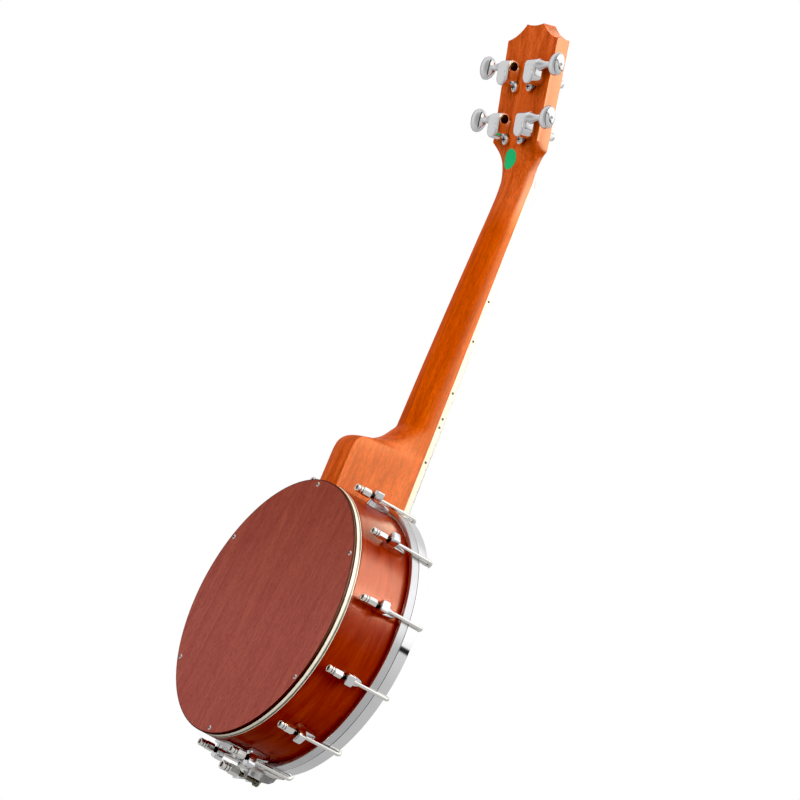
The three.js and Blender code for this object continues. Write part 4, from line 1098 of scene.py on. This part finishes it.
def smooth_rings(rings, steps):
    """Rings filled in between by a curve through them that never overshoots."""
    places = np.array(rings)
    middles = places.mean(axis=1)
    gaps = np.linalg.norm(np.diff(middles, axis=0), axis=1)[:, None, None]
    rates = np.diff(places, axis=0) / gaps
    slopes = np.concatenate([rates[:1], np.zeros_like(rates[1:]), rates[-1:]])
    before, after = rates[:-1], rates[1:]
    same = before * after > 0
    near, far = 2 * gaps[1:] + gaps[:-1], gaps[1:] + 2 * gaps[:-1]
    safe_before, safe_after = np.where(same, before, 1), np.where(same, after, 1)
    mean = (near + far) / (near / safe_before + far / safe_after)
    slopes[1:-1] = np.where(same, mean, 0)
    result = []
    for k in range(len(rings) - 1):
        for i in range(steps):
            t = i / steps
            start, end = (1 + 2 * t) * (1 - t) ** 2, t * t * (3 - 2 * t)
            leave, arrive = t * (1 - t) ** 2, t * t * (t - 1)
            ring = start * places[k] + end * places[k + 1]
            ring = ring + gaps[k] * (leave * slopes[k] + arrive * slopes[k + 1])
            result.append([tuple(point) for point in ring])
    return result + [rings[-1]]


def crown_part():
    """What is cut off above the headstock's crown: two scoops and a dip between two peaks."""
    peak = HEAD_SHOULDER + HEAD_CROWN_RISE
    half, side = HEAD_SHOULDER_HALF_WIDTH, HEAD_SHOULDER_HALF_WIDTH + OVERRUN
    top = peak + 2 * OVERRUN
    scoop = HEAD_SHOULDER + SCOOP_RISE
    ends = [(-half, HEAD_SHOULDER), (-HEAD_PEAK_HALF_WIDTH, peak)]
    ends += [(-x, z) for x, z in reversed(ends)]
    controls = ((-SCOOP_SIDE, scoop), (0, peak - 2 * HEAD_DIP), (SCOOP_SIDE, scoop))
    outline = [(-side, top), (-side, HEAD_SHOULDER), ends[0]]
    for start, control, end in zip(ends, controls, ends[1:]):
        outline += curve(start, control, end, CROWN_STEPS)[1:]
    outline += [(side, HEAD_SHOULDER), (side, top)]
    return moved(slab(outline, -HEAD_THICKNESS - OVERRUN, OVERRUN), head_frame)


def make_neck():
    heel_end = POT_RADIUS + HEEL_LENGTH
    heel_run = neck_front(heel_end) - NECK_THICKNESS_AT_HEEL - HEEL_BACK
    rings = [upright_section(rim_inner, HEEL_BACK, HEEL_SHARES[0][2])]
    for along, fall, square in HEEL_SHARES:
        z = POT_RADIUS + along * HEEL_LENGTH
        rings.append(upright_section(z, HEEL_BACK + fall * heel_run, square))
    for along, thinning in NECK_SHARES:
        z = lerp(heel_end, nut_z, along)
        thickness = lerp(NECK_THICKNESS_AT_HEEL, NECK_THICKNESS_AT_NUT, thinning)
        rings.append(upright_section(z, neck_front(z) - thickness, 0))
    widening = HEAD_CORNER_HALF_WIDTH - NUT_HALF_WIDTH
    half_width = NUT_HALF_WIDTH + NECK_END_WIDENING_SHARE * widening
    nut_end = nut_z + NUT_LENGTH
    back = head_frame @ Vector((0, HEAD_PROUD, NECK_END_ALONG_SHARE * HEAD_CORNER))
    rings.append(neck_section((0, -neck_front(nut_end), nut_end), back, half_width, half_width, 0))
    for along, share, proud, square in HEAD_FLARE_SHARES:
        half_width = NUT_HALF_WIDTH + share * widening
        rings.append(head_section(along * HEAD_CORNER, half_width, proud * HEAD_PROUD, square))
    rings = smooth_rings(rings, RINGS_BETWEEN)
    for along in (HEAD_SHOULDER, HEAD_SHOULDER + HEAD_CROWN_RISE + OVERRUN):
        rings.append(head_section(along, HEAD_SHOULDER_HALF_WIDTH, 0, 1))
    neck = piece("neck_and_head", [loft(rings)], neck_wood, node="neck")
    front = -neck_front_at_pot - OVERRUN
    pot = stepped(0, OVERRUN, POT_RADIUS + GAP, GAP - flesh_back, neck_base, front)
    cut(neck, [turned(pot, POT_STEPS), crown_part()])
    return dress(neck, neck_wood, sharp=PLATE_ANGLE)


def board_part(edges):
    """A lengthwise slice of the fingerboard; an edge is a share of the width less an inset."""
    columns = []
    for share, inset in edges:
        low, high = neck_base, nut_z - GAP
        for _ in range(BOARD_END_TRIES):
            low = math.sqrt(neck_base**2 - (share * (board_half_width(low) - inset)) ** 2)
        corners = []
        for z in (low, high):
            x = share * (board_half_width(z) - inset)
            corners.append([(x, -neck_front(z) - GAP, z), (x, -board_top(z), z)])
        columns.append(corners[0] + corners[1][::-1])
    return loft(columns)


def make_fingerboard():
    shares = [2 * i / BOARD_SLICES - 1 for i in range(BOARD_SLICES + 1)]
    inside = board_part([(share, BOARD_BINDING) for share in shares])
    piece("board_wood", [inside], board_wood, node="fingerboard")
    strips = [board_part([(side, BOARD_BINDING), (side, 0)]) for side in (-1, 1)]
    piece("board_edges", strips, board_cream)

    frets = []
    for fret in range(1, FRETS + 1):
        z = fret_place(fret)
        half, top = board_half_width(z) - FRET_INSET, board_top(z)
        crown = arc(FRET_STEPS, 0, 2)
        outline = [(z + FRET_WIDTH / 2 * c, -top - FRET_HEIGHT * s) for c, s in crown]
        frets.append(slab(outline, -half, half, lambda a, b, height: (height, b, a)))
    piece("frets", frets, fret_metal)

    side_dots, front_dots = [], []
    for fret in (*DOTTED_FRETS, DOUBLE_DOT_FRET):
        z = (fret_place(fret) + fret_place(fret - 1)) / 2
        spread = DOUBLE_DOT_SPREAD if fret == DOUBLE_DOT_FRET else 0
        for shift in {-spread, spread}:
            place = z + shift
            y = -neck_front(place) - GAP - BOARD_THICKNESS / 2
            side = (-board_half_width(place) + DOT_RISE, y, place)
            side_dots.append(disc(SIDE_DOT_DIAMETER / 2, 0, 2 * DOT_RISE, side, (-1, 0, 0)))
            front = (2 * shift, -board_top(z) + DOT_RISE, z)
            front_dots.append(disc(FRONT_DOT_DIAMETER / 2, 0, 2 * DOT_RISE, front, (0, -1, 0)))
    piece("side_dots", side_dots, line_black)
    piece("front_dots", front_dots, pearl)
    dress_node("string_nut", bone, PLATE_ANGLE, NUT_EDGE_ROUND)
    dress_node("bridge", maple, PLATE_ANGLE, NUT_EDGE_ROUND)
    for i in range(4):
        dress_node(f"string_{i + 1}", string_gut, WIRE_ANGLE)


# Tuners: made round the post's axis, on the headstock's back, with the button towards +X


def housing_shell():
    """The housing: a round foot under the worm's barrel, with a rounded top."""
    outline = [(HOUSING_RADIUS * c, HOUSING_FOOT * s) for c, s in arc(ROUND_STEPS, 2, 4)]
    outline += [(HOUSING_RADIUS, WORM_ABOVE_POST), (-HOUSING_RADIUS, WORM_ABOVE_POST)]
    rings = [[(x, GAP, z) for x, z in outline]]
    for c, s in arc(CORNER_STEPS, 0, 1):
        share = 1 - HOUSING_TAPER_SHARE - HOUSING_ROUND * (1 - c) / HOUSING_RADIUS
        height = HOUSING_HEIGHT - HOUSING_ROUND * (1 - s)
        rings.append([(x * share, height, z * share) for x, z in outline])
    return loft(rings)


def collar_part():
    """The tapering collar round the worm's shaft."""
    start = HOUSING_RADIUS - COLLAR_SET
    reaches = [lerp(start, collar_end, along) for along, _ in COLLAR_SHARES]
    reaches[-1:] = [collar_end - COLLAR_END_ROUND, collar_end]
    radii = [width * COLLAR_DIAMETER / 2 for _, width in COLLAR_SHARES]
    radii.append(radii[-1] - COLLAR_END_ROUND)
    return tube([(reach, *worm[1:]) for reach in reaches], radii, ROUND_STEPS)


def ear_arm_part():
    """The flat arm from the housing to the screw's ear, dark as painted shade between them."""
    ear = Vector((-EAR_INSIDE_POST, -EAR_BELOW_POST))
    side = Vector((-ear.y, ear.x)).normalized() * EAR_DIAMETER / 2
    return slab([side, ear + side, ear - side, -side], GAP, GAP + EAR_ARM_HEIGHT)


def make_housing(number, place):
    radius, end = BARREL_DIAMETER / 2, -BARREL_INNER
    barrel = disc(radius, end, HOUSING_RADIUS, worm, ALONG_X, TUNER_ROUND)
    ear_place = (-EAR_INSIDE_POST, 0, -EAR_BELOW_POST)
    ear = disc(EAR_DIAMETER / 2, GAP, GAP + EAR_HEIGHT, ear_place, ALONG_Y, TUNER_ROUND)
    rise = HOUSING_COVER_RISE
    low, high = HOUSING_HEIGHT - rise, HOUSING_HEIGHT + rise
    cover = disc(HOUSING_COVER_RADIUS, low, high, (0, 0, 0), ALONG_Y, rise)
    parts = [housing_shell(), barrel, collar_part(), ear, cover]
    node = f"tuner_housing_{number}"
    piece(f"tuner_shell_{number}", parts, tuner_metal, place=place, node=node)
    # the arm's dark steel is painted shade between housing and ear
    piece(f"tuner_arm_{number}", [ear_arm_part()], dark_steel, place=place)
    cap = disc(radius - CAP_INSET, end - CAP_OUT, end + CAP_IN, worm, ALONG_X, TUNER_ROUND)
    piece(f"tuner_cap_{number}", [cap], black_cap, place=place)
    top = place @ Matrix.Translation((-EAR_INSIDE_POST, GAP + EAR_HEIGHT, -EAR_BELOW_POST))
    cross_screw(f"ear_screw_{number}", EAR_SCREW_DIAMETER, EAR_SCREW_RISE, top, finish=tuner_metal)


def make_button(number, place):
    rings = []
    for share, width, thickness in BUTTON_SHARES:
        x = button_inner + share * BUTTON_LENGTH
        half_height, half_thickness = width * BUTTON_HEIGHT / 2, thickness * BUTTON_THICKNESS / 2
        sides = [(half_thickness * c, half_height * s) for c, s in circle(ROUND_STEPS)]
        rings.append([(x, WORM_HEIGHT + y, WORM_ABOVE_POST + z) for y, z in sides])
    ends = WORM_SET - BARREL_INNER, button_inner + WORM_INTO_BUTTON
    shaft = disc(WORM_DIAMETER / 2, *ends, worm, ALONG_X, WORM_ROUND)
    body, node = f"button_{number}", f"tuner_button_{number}"
    piece(f"button_grip_{number}", [loft(rings), shaft], button_metal, body, place, node)
    outer = place @ Matrix.Translation((button_inner + BUTTON_LENGTH, *worm[1:]))
    outer = outer @ Matrix.Rotation(-math.pi / 2, 4, "Z")
    name = f"button_screw_{number}"
    cross_screw(name, BUTTON_SCREW_DIAMETER, BUTTON_SCREW_RISE, outer, body, tuner_metal)


def make_post(number, place):
    """The string post with its wheel and winding, and the bushing in which it turns."""
    tip = -HEAD_THICKNESS - POST_OVER_FRONT
    wheel_top, wheel_bottom = WORM_HEIGHT + WHEEL_THICKNESS / 2, WORM_HEIGHT - WHEEL_THICKNESS / 2
    radius = POST_DIAMETER / 2
    waist_radius = radius - POST_WAIST_DEPTH
    seat = -HEAD_THICKNESS - GAP
    waist = seat - BUSHING_FLANGE - POST_SHOULDER
    wheel = WHEEL_DIAMETER / 2
    profile = stepped(0, wheel_top + GAP, radius, wheel_top, wheel, wheel_bottom, radius, waist)[:-1]
    profile += [
        (waist_radius, waist - POST_WAIST_SLOPE),
        (waist_radius, tip + POST_TIP + POST_WAIST_SLOPE),
        (radius, tip + POST_TIP),
        (radius, tip),
        (0, tip),
    ]
    body, node = f"post_{number}", f"string_post_{number}"
    post = turned(rounded(profile, TUNER_ROUND))
    piece(f"post_shaft_{number}", [post], tuner_metal, body, place, node)
    wire = STRING_DIAMETER / 2
    reach = waist_radius + wire
    coil = []
    for i, (c, s) in enumerate(circle(COIL_STEPS) * WINDING_TURNS + [(1, 0)]):
        height = waist - WINDING_SET - STRING_DIAMETER * i / COIL_STEPS
        coil.append((reach * c, height, reach * s))
    winding = tube(coil, [wire] * len(coil), WIRE_SIDES)
    piece(f"winding_{number}", [winding], string_gut, body, place)
    hole, sleeve, front = radius + GAP, seat + BUSHING_SLEEVE, seat - BUSHING_FLANGE
    profile = stepped(hole, sleeve, hole + BUSHING_WALL, seat, BUSHING_DIAMETER / 2, front)
    bushing = turned(rounded(profile, BUSHING_ROUND))
    node = f"tuner_bushing_{number}"
    piece(f"bushing_{number}", [bushing], tuner_metal, place=place, node=node)


def make_tuners():
    places = [(side, along) for along in (LOWER_POST, UPPER_POST) for side in (1, -1)]
    for i, (side, along) in enumerate(places):
        spot = Matrix.Translation((side * POST_HALF_SPREAD, 0, along))
        place = head_frame @ spot @ Matrix.Scale(side, 4, ALONG_X)
        for make in (make_housing, make_button, make_post):
            make(i + 1, place)


def make_sticker(neck):
    """A thin round label that follows the wood under it."""
    work = bmesh.new()
    work.from_mesh(neck.data)
    wood_tree = BVHTree.FromBMesh(work)
    work.free()
    drop = head_frame.to_3x3() @ Vector((0, -1, 0))
    rings = []
    for number in range(STICKER_RINGS + 1):
        share = min(number + 1, STICKER_RINGS) / STICKER_RINGS
        lift = STICKER_THICKNESS if number < STICKER_RINGS else -STICKER_THICKNESS
        ring = []
        for c, s in circle(2 * ROUND_STEPS):
            u = STICKER_PLACE[0] + share * STICKER_SIZE[0] * c
            v = STICKER_PLACE[1] + share * STICKER_SIZE[1] * s
            start = head_frame @ Vector((u, HEAD_THICKNESS, v))
            touch = wood_tree.ray_cast(start * MM, drop)[0] / MM
            ring.append(touch - drop * lift)
        rings.append(ring)
    piece("green_sticker", [loft(rings)], green)


def make_tail():
    for node in ("tailpiece", "tail_hanger"):
        dress_node(node, tail_metal, PLATE_ANGLE, TAIL_EDGE_ROUND)
    dress_node("tail_bolt", dark_steel, BAR_ANGLE)
    place = (
        Matrix.Translation((0, -TAIL_NUT_BACK, -hoop_outer - TAIL_BOLT_OUT))
        @ Matrix.Scale(TAIL_NUT_DIAMETER / NUT_DIAMETER, 4)
        @ Matrix.Translation((0, nut_back, -hook_axis))
    )
    piece("tail_nut", hook_nut_parts(), hook_metal, place=place, node="tail_bolt_nut")
    piece("tail_nut_shadow", nut_shadow_parts(), shadow_black, place=place)
    dress_node("rod_nut", tail_metal, PLATE_ANGLE)
    dress_node("coordinator_rod", rod_steel, BAR_ANGLE)


# Stage, light and camera


def make_floor():
    half = FLOOR_SIZE / 2 * MM
    mesh = bpy.data.meshes.new("floor")
    corners = [(x, y, -FLOOR_DROP * MM) for x, y in stepped(-half, -half, half, half)]
    mesh.from_pydata(corners, [], [(0, 1, 2, 3)])
    floor = bpy.data.objects.new("floor", mesh)
    bpy.context.scene.collection.objects.link(floor)
    glow = {"Emission_Color": WHITE, "Emission_Strength": FLOOR_GLOW}
    shader = Shader("Pale floor", Base_Color=FLOOR_COLOUR, Roughness=FLOOR_ROUGHNESS, **glow)
    mesh.materials.append(shader.material)
    floor.visible_diffuse = False
    floor.visible_glossy = False


def make_world():
    """White for the camera, a dim even fill, and grey and white cards for reflections."""
    world = bpy.data.worlds.new("Studio")
    bpy.context.scene.world = world
    world.use_nodes = True
    tree = Nodes(world.node_tree)
    direction = tree.node("TexCoord").outputs["Generated"]
    x, y, z = tree.node("SeparateXYZ", {0: direction}).outputs

    def levels(along, stops):
        places = [((place + 1) / 2, level) for place, level in stops]
        return tree.ramp(tree.map_range(along, -1, 1), places)

    def card(colour=WHITE, strength=1.0):
        return tree.node("Background", {"Color": colour, "Strength": strength}).outputs[0]

    def choose(share, first, second):
        return tree.node("MixShader", {0: share, 1: first, 2: second}).outputs[0]

    grey, dark = card(levels(z, GREY_SIDE)), card(levels(z, DARK_SIDE))
    bright = card(levels(z, BRIGHT_SIDE), BRIGHT_SIDE_STRENGTH)
    mirrored = choose(tree.map_range(y, *DARK_SIDE_SPAN), grey, dark)
    mirrored = choose(tree.map_range(y, *BEHIND_SPAN), mirrored, card(strength=BEHIND_LEVEL))
    mirrored = choose(tree.map_range(x, *BRIGHT_SIDE_SPAN), mirrored, bright)
    gap = tree.maths("MULTIPLY", levels(x, SOFTBOX_GAP), tree.map_range(y, *SOFTBOX_GAP_SPAN))
    mirrored = choose(gap, mirrored, card(strength=SOFTBOX_GAP_LEVEL))
    rays = tree.node("LightPath").outputs
    others = choose(rays["Is Glossy Ray"], card(strength=AMBIENT), mirrored)
    seen = choose(rays["Is Camera Ray"], others, card())
    tree.links.new(seen, tree.nodes["World Output"].inputs["Surface"])


def panel(name, place, width, height, power):
    """A soft light that faces the instrument and leaves out its polished metal."""
    data = bpy.data.lights.new(name, "AREA")
    data.shape = "RECTANGLE"
    data.size, data.size_y = width * MM, height * MM
    data.energy = power
    light = bpy.data.objects.new(name, data)
    bpy.context.scene.collection.objects.link(light)
    light.location = Vector(place) * MM
    aim = Vector(LIGHT_TARGET) - Vector(place)
    light.rotation_euler = aim.to_track_quat("-Z", "Y").to_euler()
    light.visible_camera = False
    spared = bpy.data.collections.new(name + "_spares")
    for obj in bpy.context.scene.objects:
        if obj.type == "MESH" and obj.data.materials and obj.data.materials[0] in polished:
            spared.objects.link(obj)
    light.light_linking.receiver_collection = spared
    for item in spared.collection_objects:
        item.light_linking.link_state = "EXCLUDE"
    return light


def make_lights():
    for values in SOFT_LIGHTS:
        panel(*values).visible_glossy = False
    for values in SHEEN_LIGHTS:
        light = panel(*values)
        light.data.color = SHEEN_COLOUR
        light.visible_diffuse = False


def make_camera():
    data = bpy.data.cameras.new("camera")
    data.lens, data.sensor_width = CAMERA_LENS, CAMERA_SENSOR
    data.clip_start, data.clip_end = CAMERA_CLIP
    camera = bpy.data.objects.new("camera", data)
    bpy.context.scene.collection.objects.link(camera)
    right, up = Vector(CAMERA_RIGHT).normalized(), Vector(CAMERA_UP).normalized()
    turn = Matrix((right, up, right.cross(up))).transposed().to_4x4()
    camera.matrix_world = Matrix.Translation(Vector(CAMERA_PLACE) * MM) @ turn
    bpy.context.scene.camera = camera
    settings = bpy.context.scene.view_settings
    settings.view_transform = "Standard"
    settings.use_curve_mapping = True
    settings.curve_mapping.black_level = (BLACK_LEVEL,) * 3
    settings.curve_mapping.update()


make_camera()
make_world()
make_floor()
make_pot()
make_hooks()
make_fingerboard()
make_tuners()
make_sticker(make_neck())
make_tail()
make_lights()
